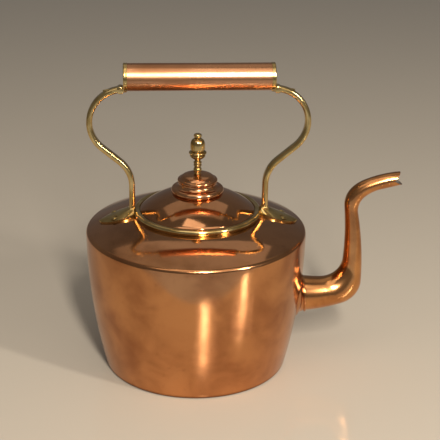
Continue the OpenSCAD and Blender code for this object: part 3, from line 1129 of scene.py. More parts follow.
@dataclass
class Spout:
    """The swan-neck spout: a socket on the wall, a half-round ring and the bent tube.

    Its upper and its lower edge each run in legs, which bend evenly along their length.

    Attributes:
        root_x: Where the tube starts along X.
        root_z: Height of the middle of its root.
        root_r: Outer radius of the tube at its root.
        rise: Slope of the root's axis, in degrees.
        wall: Thickness of the tube.
        corner: How far along the last leg the corner of the beak's mouth lies, from 0 to 1.
        flare_r: Radius of the socket's hollow flare.
        flare_z: Height on the wall of the flare's axis.
        flare_tilt: How far the flare leans down from level, in degrees.
        ring_r: Radius of the half-round ring.
        ring_back: How far behind the root the ring lies.
        land_proud: How far the land under the ring stands out from the tube.
        over_heading: Slope at which the upper edge starts, in degrees.
        under_legs: Length and turn in degrees of each leg of the lower edge.
        over_legs: Length and turn in degrees of each leg of the upper edge.
        half_widths: Half the tube's width at the ends of the legs.
        rings_per_leg: How many rings a leg is drawn in.
        sides: How many faces go round the tube.
    """

    root_x: float = 103.0
    root_z: float = 64.9
    root_r: float = 16.9
    rise: float = 4.0
    wall: float = 1.2
    corner: float = 0.72
    flare_r: float = 6.0
    flare_z: float = 64.5
    flare_tilt: float = 7.2
    ring_r: float = 1.3
    ring_back: float = 0.7
    land_proud: float = 0.2
    over_heading: float = -9.0
    under_legs: tuple[tuple[float, float], ...] = (
        (38, 14),
        (29, 71),
        (69.5, 12),
        (19, -63),
        (16.5, -26),
        (19, 3),
    )
    over_legs: tuple[tuple[float, float], ...] = (
        (16, 8),
        (32, 87),
        (53, 10),
        (20, -51),
        (13, -22),
        (34.5, -19),
    )
    half_widths: tuple[float, ...] = (16.9, 15.0, 9.8, 6.6, 7.3, 7.3, 7.5)
    rings_per_leg: int = 12
    sides: int = 72

    @property
    def at_root(self) -> Matrix:
        """The frame of the root, whose +Z runs out along the spout."""
        place = Matrix.Translation(Vector((self.root_x, 0, self.root_z)) * MM)
        return place @ Matrix.Rotation(math.radians(90 - self.rise), 4, "Y")

    def edge(self, legs: Sequence[tuple[float, float]], side: float, t: float) -> Vector:
        """A point on the upper or the lower edge of the spout.

        Args:
            legs: Length and turn of each leg of that edge.
            side: 1 for the upper edge and -1 for the lower one.
            t: How far along, in legs.

        Returns:
            The point in the middle plane, in millimetres.
        """
        rise = math.radians(self.rise)
        x = self.root_x - side * self.root_r * math.sin(rise)
        z = self.root_z + side * self.root_r * math.cos(rise)
        heading = self.over_heading if side > 0 else self.rise
        for i, (length, turn) in enumerate(legs):
            u = min(max(t - i, 0.0), 1.0)
            part, bend = length * u, turn * u
            half = math.radians(bend / 2)
            chord = part * math.sin(half) / half if half else part
            x += chord * math.cos(math.radians(heading) + half)
            z += chord * math.sin(math.radians(heading) + half)
            heading += bend
        return Vector((x, 0, z))

    def section(self, t: float) -> Section:
        """Works out one section of the spout between its two edges.

        Args:
            t: How far along, in legs.

        Returns:
            The section.
        """
        low = self.edge(self.under_legs, -1, t)
        high = self.edge(self.over_legs, 1, t)
        across = (high - low) / 2
        i = min(int(t), len(self.half_widths) - 2)
        width = self.half_widths[i] + (self.half_widths[i + 1] - self.half_widths[i]) * (t - i)
        return Section((low + high) / 2, across.length, width, math.atan2(across.x, across.z))

    def bore_cutter(self) -> bpy.types.Object:
        """Makes the shape of the hole through the wall behind the socket.

        Returns:
            A closed cutter.
        """
        length, back = 50.0, -12.0
        rod = start_rod(self.root_r - self.wall, length, sides=64)
        return put(rod, self.at_root @ Matrix.Translation((0, 0, back * MM)))

    def root_section(self) -> bpy.types.Object:
        """Lays the tube's first section: a circle drawn to an oval and stood on the root.

        Returns:
            The section as an open ring of edges.
        """
        first = self.section(0.0)
        deselect()
        bpy.ops.mesh.primitive_circle_add(radius=MM, vertices=self.sides)
        piece = bpy.context.object
        piece.name = "swan_neck"
        settle(piece)
        with editing(piece):
            bpy.ops.transform.rotate(
                value=math.radians(90), orient_axis="Z", center_override=(0, 0, 0)
            )
            bpy.ops.transform.resize(value=(first.tall, first.wide, 1), center_override=(0, 0, 0))
        # The circle lies flat, with its height along X, so it is stood up by a quarter turn.
        stand = Matrix.Rotation(first.tilt - math.pi / 2, 4, "Y")
        return put(piece, Matrix.Translation(first.middle * MM) @ stand)

    def draw_on(self, before: Section, after: Section) -> None:
        """Draws the selected ring of the tube on from one section to the next.

        Args:
            before: The section where the ring lies.
            after: The section that the tube is drawn on to.
        """
        at = after.middle * MM
        taller, wider = after.tall / before.tall, after.wide / before.wide
        extrude(at - before.middle * MM)
        bpy.ops.transform.rotate(
            value=before.tilt - after.tilt, orient_axis="Y", center_override=at
        )
        bpy.ops.transform.resize(value=(taller, wider, taller), center_override=at)

    def tube(self) -> bpy.types.Object:
        """Draws the tube out ring by ring, gives it its wall and opens its beak.

        Returns:
            The tube as a closed sheet, tinned inside.
        """
        piece = self.root_section()
        count = len(self.under_legs) * self.rings_per_leg
        sections = [self.section(i / self.rings_per_leg) for i in range(count + 1)]
        with editing(piece):
            for before, after in pairwise(sections):
                self.draw_on(before, after)
        face_outwards(piece)
        FINISHES.dress(piece, TUBE_COPPER, TINNING)
        apply_modifier(
            piece, "SOLIDIFY", thickness=self.wall * MM, offset=-1.0, material_offset=1
        )
        cut_away(piece, self.mouth())
        close_up(piece)
        smooth(piece, 60)
        return piece

    def mouth(self) -> bpy.types.Object:
        """Makes the wedge that opens the beak. Its edge joins the corners of the mouth.

        Returns:
            A closed cutter between the lips of the upper and the lower jaw.
        """
        legs = len(self.under_legs)
        corner = self.section(legs - 1 + self.corner).middle
        # The wedge reaches past the tips of the jaws and out on both sides of the tube.
        beyond = 1.6
        aside = Vector((0, 2 * self.half_widths[-1], 0)) * MM
        tips = (self.edge(self.over_legs, 1, legs), self.edge(self.under_legs, -1, legs))
        points = [corner] + [corner + (tip - corner) * beyond for tip in tips]
        cutter = trace("mouth_wedge", [point * MM - aside for point in points])
        with editing(cutter):
            bpy.ops.mesh.edge_face_add()
            extrude(2 * aside)
        face_outwards(cutter)
        return cutter

    def socket(self, body: Body) -> bpy.types.Object:
        """Turns the land under the ring and the flare, and cuts them to the round of the wall.

        Args:
            body: The body that it stands on.

        Returns:
            The socket as a closed shell.
        """
        land, steps = self.root_r + self.land_proud, 96
        centre = (land + self.flare_r, self.flare_r)
        flare = [(0.0, -self.flare_r), (centre[0] + self.flare_r / 2, -self.flare_r)]
        flare += arc(centre, self.flare_r, 255, 196, 20)
        flare += [(0.0, flare[-1][1])]
        place = Matrix.Translation(Vector((body.wall_r(self.flare_z), 0, self.flare_z)) * MM)
        place @= Matrix.Rotation(math.radians(90 + self.flare_tilt), 4, "Y")
        piece = put(turned("spout_flare", flare, steps=steps), place)
        # The flare ends a hair behind the ring, and the land runs from inside the wall to it.
        end = -self.ring_back - self.ring_r - 0.05
        room_r, room_end, stub_end = 40.0, end + 30, -14.0
        room = [(0.0, end), (room_r, end), (room_r, room_end), (0.0, room_end)]
        cut_away(piece, put(turned("ring_room", room, steps=steps), self.at_root))
        stub = [(0.0, stub_end), (land, stub_end), (land, 0.0), (0.0, 0.0)]
        fuse(piece, put(turned("spout_land", stub, steps=steps), self.at_root))
        cut_away(piece, self.wall_core(body))
        cut_away(piece, self.bore_cutter())
        close_up(piece)
        smooth(piece, 40)
        FINISHES.dress(piece, BODY_COPPER)
        return piece

    def wall_core(self, body: Body) -> bpy.types.Object:
        """Makes the room that the body takes, for cutting the socket to its round.

        Args:
            body: The body that the spout stands on.

        Returns:
            A closed cutter that reaches a little below the table.
        """
        bands, below = 40, 6
        heights = [body.rim_z * i / bands for i in range(-below, bands + 1)]
        core = [(0.0, -20.0)] + [(body.wall_r(z), z) for z in heights] + [(0.0, body.rim_z)]
        return turned("wall_core", core, steps=body.turned_steps)

    def bead(self) -> bpy.types.Object:
        """Turns the half-round ring over the joint of the socket and the tube.

        Returns:
            The ring.
        """
        seat = (self.root_r + self.land_proud, -self.ring_back)
        profile = arc(seat, self.ring_r, -90, 90, 12)
        piece = put(turned("spout_bead", profile + profile[:1], steps=96), self.at_root)
        smooth(piece, 50)
        FINISHES.dress(piece, BODY_COPPER)
        return piece

    def build(self, body: Body) -> None:
        """Makes the pieces of the spout and hands each over to its CAD node.

        Args:
            body: The body that it stands on.
        """
        hand_over(self.socket(body), "spout_socket", Rides.KETTLE)
        hand_over(self.bead(), "spout_ring", Rides.KETTLE)
        hand_over(self.tube(), "spout_tube", Rides.KETTLE)


# ---------- Handle ----------


@dataclass
class Leaf:
    """A pointed leaf of cast metal: an outline of two arcs, crowned across its width.

    Attributes:
        length: From tip to tip of the whole outline.
        width: Across its middle.
        start: Where along the outline the leaf starts.
        end: Where along the outline it ends.
        crown: Height of the crown at the start.
        crown_end: Height of the crown at the end.
        edge: Height of the rim of the crowned face.
        drop: How far the solid goes down from that face.
        columns: How many faces it has along its length.
        half_rows: How many faces it has on each side of its middle.
    """

    length: float
    width: float
    start: float
    end: float
    crown: float
    crown_end: float
    edge: float
    drop: float
    columns: int = 30
    half_rows: int = 7

    def half_width(self, x: float) -> float:
        """Works out half the width between the two arcs of the outline.

        Args:
            x: How far along from the outline's own tip.

        Returns:
            Half the width, and at the tip itself a hair, so that no face closes up.
        """
        hair = 0.02
        r = (self.length**2 + self.width**2) / (4 * self.width)
        reach = math.sqrt(r * r - (x - self.length / 2) ** 2)
        return max(reach - (r - self.width / 2), hair)

    def crown_rows(self, piece: bpy.types.Object) -> None:
        """Draws the rows of the grid apart and up to a round crown of height 1.

        Args:
            piece: The grid in edit mode, 1 mm to each side of the origin.
        """
        for j in range(self.half_rows, -1, -1):
            t = j / self.half_rows
            place = math.sin(t * math.pi / 2)
            pick(piece, lambda co: abs(abs(co.y) / MM - t) < 0.02)
            if 0 < t < 1:
                bpy.ops.transform.resize(value=(1, place / t, 1), center_override=(0, 0, 0))
            bpy.ops.transform.translate(value=(0, 0, (1 - place**2) * MM))

    def shape_columns(self, piece: bpy.types.Object) -> None:
        """Gives each column of the grid the leaf's width and the height of its crown.

        Args:
            piece: The grid in edit mode, with its rows crowned.
        """
        for i in range(self.columns + 1):
            k = i / self.columns
            at = (2 * k - 1) * MM
            rise = self.crown + (self.crown_end - self.crown) * k - self.edge
            wide = self.half_width(self.start + (self.end - self.start) * k)
            pick(piece, lambda co: abs(co.x - at) < 0.3 * MM / self.columns)
            bpy.ops.transform.resize(value=(1, wide, rise), center_override=(at, 0, 0))

    def build(self, name: str) -> bpy.types.Object:
        """Shapes a grid row by row and column by column, and draws it down to a solid.

        Args:
            name: The piece's name.

        Returns:
            A closed leaf along +X, with its outline's own tip at x = 0.
        """
        deselect()
        bpy.ops.mesh.primitive_grid_add(
            x_subdivisions=self.columns, y_subdivisions=2 * self.half_rows, size=2 * MM
        )
        piece = bpy.context.object
        piece.name = name
        middle, half = (self.start + self.end) / 2, (self.end - self.start) / 2
        with editing(piece):
            self.crown_rows(piece)
            self.shape_columns(piece)
            bpy.ops.mesh.select_all(action="SELECT")
            bpy.ops.transform.resize(value=(half, 1, 1), center_override=(0, 0, 0))
            bpy.ops.transform.translate(value=(middle * MM, 0, self.edge * MM))
            extrude(Vector((0, 0, -self.drop * MM)))
        face_outwards(piece)
        return piece


class ArmCourse(NamedTuple):
    """The straight parts of an arm's middle line, in millimetres.

    Attributes:
        start: Where the arm starts, beside the grip.
        lead: The step from there into the lobe.
        heading: The lead's angle above the horizon, in radians.
        down: The step from the lobe down and in to the waist.
        waist_z: Height of the end of the waist's bend.
    """

    start: Vector
    lead: Vector
    heading: float
    down: Vector
    waist_z: float


@dataclass
class Handle:
    """The fixed handle: two brass arms on leaf-shaped feet, and a copper grip with brass caps.

    Attributes:
        body: The body that it stands on.
        handle_x: How far the handle's middle stands from the body's axis.
        grip_len: Length of the grip over its caps.
        grip_d: Diameter of the grip.
        grip_z: Height of the grip's axis.
        grip_wall: Thickness of the grip's tube.
        cap_t: Thickness of a cap's disc.
        cap_skirt: How far a cap reaches along the grip.
        arm_x: How far an arm's foot stands from the handle's middle.
        arm_t: Thickness of an arm in the plane of the handle.
        arm_w: Width of an arm across that plane.
        arm_round: Rounding of an arm's corners.
        lobe_r: Radius of the arm's outer bend.
        lobe_c: Place of that bend's middle, outwards and up.
        lobe_top: Angle at which the bend starts, beside the grip, in degrees.
        lobe_end: Angle at which it ends, in degrees.
        lead_in: Length of the straight lead into the bend.
        waist_r: Radius of the arm's lower bend.
        foot_top_z: Height of the top of the foot's block.
        foot_w: Width of a foot.
        foot_len: How far a foot reaches outwards from the arm.
        leaf_back: How far it reaches inwards.
        rivet_at: Where a rivet stands, outwards from the arm and aside.
        rivet_seat: Height of the seat of a rivet's head above the shoulder.
        rivet_r: Radius of a rivet's shank.
        rivet_head_r: Radius of its head.
        rivet_head_h: Height of its head.
        lug_r: Radius of the lug beside the grip.
        block_corner: Rounding of the block's corners.
        block_tiers: Height of each tier of the block, and how much its top grows.
        thumb_len: Length of the whole leaf beside the grip.
        thumb_at: Place of that leaf's root, outwards and up.
        thumb_slope: How far that leaf slopes down outwards, in degrees.
    """

    body: Body
    handle_x: float = 2.2
    grip_len: float = 135.6
    grip_d: float = 24.8
    grip_z: float = 278.0
    grip_wall: float = 1.2
    cap_t: float = 1.6
    cap_skirt: float = 3.6
    arm_x: float = 61.2
    arm_t: float = 5.4
    arm_w: float = 9.0
    arm_round: float = 2.3
    lobe_r: float = 31.0
    lobe_c: tuple[float, float] = (67.7, 236.0)
    lobe_top: float = 84.0
    lobe_end: float = -50.0
    lead_in: float = 6.0
    waist_r: float = 30.0
    foot_top_z: float = 154.8
    foot_w: float = 26.0
    foot_len: float = 32.0
    leaf_back: float = 10.0
    rivet_at: tuple[float, float] = (17.0, 8.0)
    rivet_seat: float = 2.6
    rivet_r: float = 1.6
    rivet_head_r: float = 3.0
    rivet_head_h: float = 1.3
    lug_r: float = 3.4
    block_corner: float = 2.0
    block_tiers: tuple[tuple[float, float], ...] = (
        (7.0, 1.0),
        (2.6, 0.93),
        (1.5, 1.05),
        (0.9, 0.88),
    )
    thumb_len: float = 17.0
    thumb_at: tuple[float, float] = (70.5, 269.4)
    thumb_slope: float = 10.0

    def on_side(self, side: Side) -> Matrix:
        """The frame of one side of the handle, whose +X runs outwards."""
        mirror = Matrix.Scale(side.value, 4, (1, 0, 0))
        return Matrix.Translation((self.handle_x * MM, 0, 0)) @ mirror

    def on_foot(self, side: Side) -> Matrix:
        """Finds the frame of one foot, which touches the shoulder at its rivets.

        Args:
            side: Which foot.

        Returns:
            A frame whose +X runs down the shoulder and whose origin is under the arm.
        """
        slope = math.radians(self.body.slope)
        along = self.rivet_at[0] * math.cos(slope)
        height = self.body.shoulder_z(self.arm_x + side.value * self.handle_x + along)
        height += along * math.tan(slope)
        place = Matrix.Translation((self.arm_x * MM, 0, height * MM))
        return self.on_side(side) @ place @ Matrix.Rotation(slope, 4, "Y")

    def lobe_point(self, angle: float) -> Vector:
        """Finds a point on the middle line of the arm's lobe.

        Args:
            angle: Its angle above the horizon, in degrees.

        Returns:
            The point, in millimetres.
        """
        a = math.radians(angle)
        x, z = self.lobe_c
        return Vector((x + self.lobe_r * math.cos(a), 0, z + self.lobe_r * math.sin(a)))

    def course(self) -> ArmCourse:
        """Works out the straight parts of the arm, before, between and after its two bends.

        Returns:
            The course from the grip to the waist.
        """
        turn = math.radians(-self.lobe_end)
        heading = math.radians(self.lobe_top - 90)
        lead = Vector((math.cos(heading), 0, math.sin(heading))) * self.lead_in
        low = self.lobe_point(self.lobe_end)
        waist_x = self.arm_x + self.waist_r * (1 - math.cos(turn))
        run = (low.x - waist_x) / math.sin(turn)
        down = Vector((-math.sin(turn), 0, -math.cos(turn))) * run
        waist_z = (low + down).z - self.waist_r * math.sin(turn)
        return ArmCourse(self.lobe_point(self.lobe_top) - lead, lead, heading, down, waist_z)

    def arm(self, side: Side) -> bpy.types.Object:
        """Draws an arm out of one rounded section: lobe, diagonal, waist and foot.

        Args:
            side: Which arm.

        Returns:
            The arm with its lug and its leaf.
        """
        course = self.course()
        bar = start_section("arm_bar", self.arm_t, self.arm_w, self.arm_round, segments=6)
        stand = Matrix.Rotation(math.radians(90) - course.heading, 4, "Y")
        put(bar, Matrix.Translation(course.start * MM) @ stand)
        with editing(bar):
            extrude(course.lead * MM)
            self.bend(self.lobe_c, self.lobe_top - self.lobe_end, 44)
            extrude(course.down * MM)
            self.bend((self.arm_x + self.waist_r, course.waist_z), self.lobe_end, 18)
            extrude(Vector((0, 0, self.foot_top_z - course.waist_z)) * MM)
        face_outwards(bar)
        arm = joined(f"arm_{side.word}", [bar, self.lug(), self.thumb_leaf()])
        put(arm, self.on_side(side))
        smooth(arm, 50)
        FINISHES.dress(arm, CAST_BRASS)
        return arm

    def bend(self, centre: tuple[float, float], angle: float, steps: int) -> None:
        """Bends the bar's end on round a centre, by an angle in degrees from +Z to +X.

        Args:
            centre: The middle of the bend, in millimetres.
            angle: How far it turns.
            steps: How many parts it is drawn in.
        """
        bpy.ops.mesh.spin(
            steps=steps,
            angle=-math.radians(angle),
            center=(centre[0] * MM, 0, centre[1] * MM),
            axis=(0, 1, 0),
        )

    def lug(self) -> bpy.types.Object:
        """Makes the small round lug between the arm and the grip's cap.

        Returns:
            A short rod across the arm, with rounded edges.
        """
        sunk, wider = 0.8, 1.0
        x = self.grip_len / 2 + self.lug_r - sunk
        at = Vector((x, 0, self.lobe_point(self.lobe_top).z))
        piece = start_rod(self.lug_r, self.arm_w + wider, sides=48)
        put(piece, Matrix.Translation(at * MM) @ Matrix.Rotation(math.pi / 2, 4, "X"))
        apply_modifier(piece, "BEVEL", width=1.0 * MM, segments=4, limit_method="ANGLE")
        return piece

    def thumb_leaf(self) -> bpy.types.Object:
        """Makes the thin leaf that lies along the top of the arm beside the grip.

        Returns:
            The leaf, blunt at its tip and square at its root.
        """
        back, blunt = 3.0, 1.2
        leaf = Leaf(
            length=2 * self.thumb_len,
            width=11.0,
            start=self.thumb_len - back,
            end=2 * self.thumb_len - blunt,
            crown=0.1,
            crown_end=-0.3,
            edge=-1.5,
            drop=1.4,
            columns=20,
            half_rows=5,
        )
        x, z = self.thumb_at
        place = Matrix.Translation(Vector((x, 0, z)) * MM)
        place @= Matrix.Rotation(math.radians(self.thumb_slope), 4, "Y")
        root = Matrix.Translation((-self.thumb_len * MM, 0, 0))
        return put(leaf.build("thumb_leaf"), place @ root)

    def foot(self, side: Side) -> bpy.types.Object:
        """Casts one foot: a crowned leaf with the block that the arm stands on.

        Args:
            side: Which foot.

        Returns:
            The foot, cut to the shoulder and the collar, with the seats of its rivets.
        """
        length = self.leaf_back + self.foot_len
        leaf = Leaf(
            length=length,
            width=self.foot_w,
            start=0.0,
            end=length,
            crown=6.6,
            crown_end=2.3,
            edge=1.3,
            drop=8.0,
        )
        back = Matrix.Translation((-self.leaf_back * MM, 0, 0))
        piece = put(leaf.build(f"foot_{side.word}"), self.on_foot(side) @ back)
        fuse(piece, self.block(side))
        cut_away(piece, self.body.top_core())
        for y in (-1, 1):
            cut_away(piece, put(self.rivet_seating(), self.on_foot(side) @ self.rivet_place(y)))
        smooth(piece, 38)
        FINISHES.dress(piece, CAST_BRASS)
        return piece

    def rivet_seating(self) -> bpy.types.Object:
        """Makes the hole of a rivet and the seat of its head.

        Returns:
            A closed cutter about the rivet's axis.
        """
        below, above, gap, flare = 4, 6, 0.2, 0.5
        seat, head = self.rivet_seat, self.rivet_head_r
        profile = [(0, -below), (self.rivet_r, -below), (self.rivet_r, seat), (head + gap, seat)]
        profile += [(head + flare, seat + above), (0, seat + above)]
        return turned("rivet_seat", profile, steps=40)

    def rivet_place(self, y: int) -> Matrix:
        """Where a rivet stands in the frame of its foot."""
        return Matrix.Translation((self.rivet_at[0] * MM, y * self.rivet_at[1] * MM, 0))

    def block(self, side: Side) -> bpy.types.Object:
        """Makes the small block under an arm, drawn in tier by tier towards its top.

        Args:
            side: Which foot it belongs to.

        Returns:
            The block, in its place.
        """
        wider = 2
        wide, deep = self.arm_t + wider, self.arm_w + wider
        piece = start_section("foot_block", wide, deep, self.block_corner, segments=5)
        with editing(piece):
            for rise, grow in self.block_tiers:
                extrude(Vector((0, 0, rise * MM)))
                bpy.ops.transform.resize(value=(grow, grow, 1), center_override=(0, 0, 0))
        face_outwards(piece)
        height = sum(rise for rise, _ in self.block_tiers)
        at = Matrix.Translation((self.arm_x * MM, 0, (self.foot_top_z - height) * MM))
        return put(piece, self.on_side(side) @ at)

    def rivets(self, side: Side) -> bpy.types.Object:
        """Heads two rivets, one on each side of the arm.

        Args:
            side: Which foot they hold.

        Returns:
            Both rivets as one object of two solids.
        """
        h, r = self.rivet_head_h, self.rivet_head_r
        ball = (r * r + h * h) / (2 * h)
        edge = math.degrees(math.asin(r / ball))
        top = arc((0.0, self.rivet_seat + h - ball), ball, 90 - edge, 90, 8)
        # The inner head is the outer one turned over, half a millimetre clear of the sheet.
        low_z = -self.body.sheet - 0.5
        low = [(x, low_z + self.rivet_seat - z) for x, z in reversed(top)]
        profile = low + [(self.rivet_r, low_z), (self.rivet_r, self.rivet_seat)] + top
        first = turned("rivet", profile, steps=40)
        pair = [first, copied(first, "rivet_twin")]
        for piece, y in zip(pair, (-1, 1), strict=True):
            put(piece, self.on_foot(side) @ self.rivet_place(y))
        both = joined(f"rivets_{side.word}", pair)
        smooth(both, 40)
        FINISHES.dress(both, CAST_BRASS)
        return both

    @property
    def along_grip(self) -> Matrix:
        """The frame of the grip, whose +Z runs along it towards the spout."""
        place = Matrix.Translation((self.handle_x * MM, 0, self.grip_z * MM))
        return place @ Matrix.Rotation(math.pi / 2, 4, "Y")

    def grip(self) -> bpy.types.Object:
        """Rolls the copper tube of the grip, a little slack between its caps.

        Returns:
            The tube as a closed sheet.
        """
        end, r = self.grip_len / 2 - self.cap_t, self.grip_d / 2
        slack, rings = 0.12, 16
        outer = [
            (r - slack * math.sin(math.pi * i / rings) ** 2, -end + 2 * end * i / rings)
            for i in range(rings + 1)
        ]
        inner = [(r - self.grip_wall, end), (r - self.grip_wall, -end)]
        piece = put(turned("grip_sleeve", outer + inner + outer[:1]), self.along_grip)
        smooth(piece)
        FINISHES.dress(piece, GRIP_COPPER)
        return piece

    def cap(self, side: Side) -> bpy.types.Object:
        """Turns one cap: a disc with a rounded edge and a beaded skirt round the tube.

        Args:
            side: Which end of the grip it closes.

        Returns:
            The cap.
        """
        end, r = self.grip_len / 2, self.grip_d / 2
        disc, skirt, out = end - self.cap_t, end - self.cap_skirt, r + 0.4
        bead, groove, round_r, sunk = 0.35, 0.22, 1.0, 0.35
        profile = [(0.0, disc), (r, disc), (r, skirt)]
        profile += arc((out - bead, skirt + bead), bead, -90, 0, 4)
        profile += [(out - groove, end - 2.3)]
        profile += arc((out - round_r, end - round_r), round_r, 0, 90, 8)
        # The face has a flat rim, a shallow sunk ring and a middle that rises a little.
        profile += [(r - 3.2, end), (r - 4.0, end - sunk), (r - 6.0, end - sunk), (0.0, end - 0.2)]
        mirror = Matrix.Scale(side.value, 4, (0, 0, 1))
        piece = put(turned(f"cap_{side.word}", profile), self.along_grip @ mirror)
        smooth(piece, 40)
        FINISHES.dress(piece, CAST_BRASS)
        return piece

    def build(self) -> None:
        """Makes the pieces of the handle and hands each over to its CAD node."""
        for side in Side:
            pieces = {
                "handle_foot": self.foot(side),
                "foot_rivets": self.rivets(side),
                "handle_arm": self.arm(side),
                "grip_cap": self.cap(side),
            }
            for node, piece in pieces.items():
                hand_over(piece, f"{node}_{side.word}", Rides.KETTLE)
        hand_over(self.grip(), "grip_tube", Rides.KETTLE)


# ---------- Lid ----------


@dataclass
class Lid:
    """The lift-off lid: domed sheet, bezel, spun boss and the turned acorn knob with its nut.

    Attributes:
        body: The body that it closes.
        lid_r: Radius of the lid.
        dome_r: Radius of the sphere of the dome's outer face.
        sheet: Thickness of the sheet.
        bezel_gap: Clearance round the bezel in the neck.
        bezel_depth: How far the bezel goes down below the lid's edge.
        seat_gap: Clearance between the lid and its seat.
        edge_t: Thickness of the lid's edge.
        boss_r: Radius of the boss at its bead.
        bun_r: Radius of the bun on the boss.
        boss_h: Height of the boss above the dome.
        acorn_r: Radius of the acorn.
        cup_r: Radius of the lip of its cup.
        knob_h: Height of the knob above the boss.
        stud_r: Radius of the stud.
        stud_gap: Clearance round the stud.
        washer_r: Radius of the washer.
        washer_t: How far the washer's underside lies below the dome's.
        nut_h: Height of the nut.
        nut_corner_r: Radius of the nut over its corners.
    """

    body: Body
    lid_r: float = 52.9
    dome_r: float = 83.0
    sheet: float = 1.2
    bezel_gap: float = 0.4
    bezel_depth: float = 9.0
    seat_gap: float = 0.2
    edge_t: float = 1.0
    boss_r: float = 24.2
    bun_r: float = 18.4
    boss_h: float = 15.0
    acorn_r: float = 6.7
    cup_r: float = 8.1
    knob_h: float = 38.0
    stud_r: float = 2.5
    stud_gap: float = 0.05
    washer_r: float = 8.0
    washer_t: float = 1.8
    nut_h: float = 4.0
    nut_corner_r: float = 4.6

    @property
    def edge_z(self) -> float:
        """Height of the underside of the lid's edge."""
        return self.body.seat_z + self.seat_gap

    @property
    def dome_c(self) -> float:
        """Height of the centre of the dome's sphere."""
        return self.edge_z + self.edge_t - math.sqrt(self.dome_r**2 - self.lid_r**2)

    @property
    def boss_top(self) -> float:
        """Height of the flat top of the boss."""
        return self.dome_c + self.dome_r + self.boss_h

    @property
    def washer_bottom(self) -> float:
        """Height of the underside of the washer."""
        return self.dome_c + self.dome_r - self.sheet - self.washer_t

    @property
    def hole_r(self) -> float:
        """Radius of the holes that the stud goes through."""
        return self.stud_r + self.stud_gap

    @property
    def under_r(self) -> float:
        """Radius of the sphere of the dome's underside."""
        return self.dome_r - self.sheet

    def turned_here(self, name: str, profile: Profile, steps: int) -> bpy.types.Object:
        """Turns a closed profile about the lid's own axis."""
        return turned(name, profile + profile[:1], self.body.neck_x, steps)

    def ball_arc(self, ball: float, start_r: float, end_r: float, steps: int) -> Profile:
        """Draws a part of a sphere about the centre of the dome.

        Args:
            ball: The sphere's radius.
            start_r: How far from the axis the part starts.
            end_r: How far from the axis it ends.
            steps: How many parts it is drawn in.

        Returns:
            The points in order.
        """
        start, end = (math.degrees(math.acos(r / ball)) for r in (start_r, end_r))
        return arc((0.0, self.dome_c), ball, start, end, steps)

    def dome(self) -> bpy.types.Object:
        """Spins the dome, with a fine rolled edge.

        Returns:
            The dome as a closed sheet with the hole of the stud.
        """
        roll = 0.55
        land = math.sqrt(self.under_r**2 - (self.edge_z - self.dome_c) ** 2) - 0.6
        profile = [(land, self.edge_z), (self.lid_r - roll, self.edge_z)]
        profile += arc((self.lid_r - roll, self.edge_z + roll), roll, -80, 60, 8)
        profile += self.ball_arc(self.dome_r, self.lid_r - 0.9, self.hole_r, 40)
        profile += self.ball_arc(self.under_r, self.hole_r, land, 30)
        piece = self.turned_here("lid_sheet", profile, self.body.turned_steps)
        smooth(piece, 28)
        FINISHES.dress(piece, SHOULDER_COPPER, TINNING, lambda at, normal: normal.z < -0.4)
        return piece

    def bezel(self) -> bpy.types.Object:
        """Rolls the bezel that holds the lid in its neck.

        Returns:
            The bezel as a closed ring.
        """
        outer = self.body.neck_bore_r - self.bezel_gap
        inner = outer - self.sheet
        low = self.edge_z - self.bezel_depth
        chamfer = 0.3
        profile = [(inner, low + chamfer), (inner + chamfer, low)]
        profile += [(outer - chamfer, low), (outer, low + chamfer)]
        # The band ends against the underside of the dome.
        profile += [(r, self.dome_c + math.sqrt(self.under_r**2 - r**2)) for r in (outer, inner)]
        piece = self.turned_here("lid_band", profile, self.body.turned_steps)
        smooth(piece)
        FINISHES.dress(piece, SPUN_COPPER)
        return piece

    def boss(self) -> bpy.types.Object:
        """Spins the boss: a thick bead on the dome, a cove, a fine ring and the bun.

        Returns:
            The boss, hollowed to the dome.
        """
        bead, ring, cove = 3.0, 1.9, 4.0
        bun_h, bun_full = 6.5, 3.2
        bead_x = self.boss_r - bead
        bead_z = self.dome_c + math.sqrt(self.dome_r**2 - bead_x**2) + 2
        ring_x, ring_z = self.bun_r - ring, self.boss_top - bun_h
        profile = self.ball_arc(self.dome_r, self.hole_r, bead_x + 1.5, 16)
        profile += arc((bead_x, bead_z), bead, -50, 95, 18)
        profile += arc((ring_x + 4.6, bead_z + bead + cove), cove, 260, 185, 12)
        profile += arc((ring_x, ring_z), ring, -70, 70, 12)
        # The bun falls away in a full round from its flat top, which the knob stands on.
        for k in (i / 31 for i in range(30, 8, -1)):
            profile.append((ring_x * k, ring_z + bun_h * math.sqrt(1 - k**bun_full)))
        profile += [(self.hole_r, self.boss_top)]
        piece = self.turned_here("boss_spinning", profile, 128)
        smooth(piece, 40)
        FINISHES.dress(piece, SPUN_COPPER)
        return piece

    def stem_profile(self) -> Profile:
        """Draws the knob from its stud up: shoulder, bulb and a stem with two beads.

        Returns:
            The points in order, up to the foot of the cup.
        """
        z, low = self.boss_top, self.washer_bottom - self.nut_h - 1
        chamfer, clear, stem, bead = 0.4, 0.02, 2.9, 0.95
        profile = [(0.0, low), (self.stud_r - chamfer, low), (self.stud_r, low + chamfer)]
        profile += [(self.stud_r, z + clear), (3.5, z + clear)]
        profile += arc((0.6, z + 3.4), 3.3, -48, 62, 14)
        for bead_z in (7.8, 10.4):
            profile += arc((stem, z + bead_z), bead, -80, 80, 8)
        return profile + [(2.75, z + 11.8), (2.8, z + 12.6)]

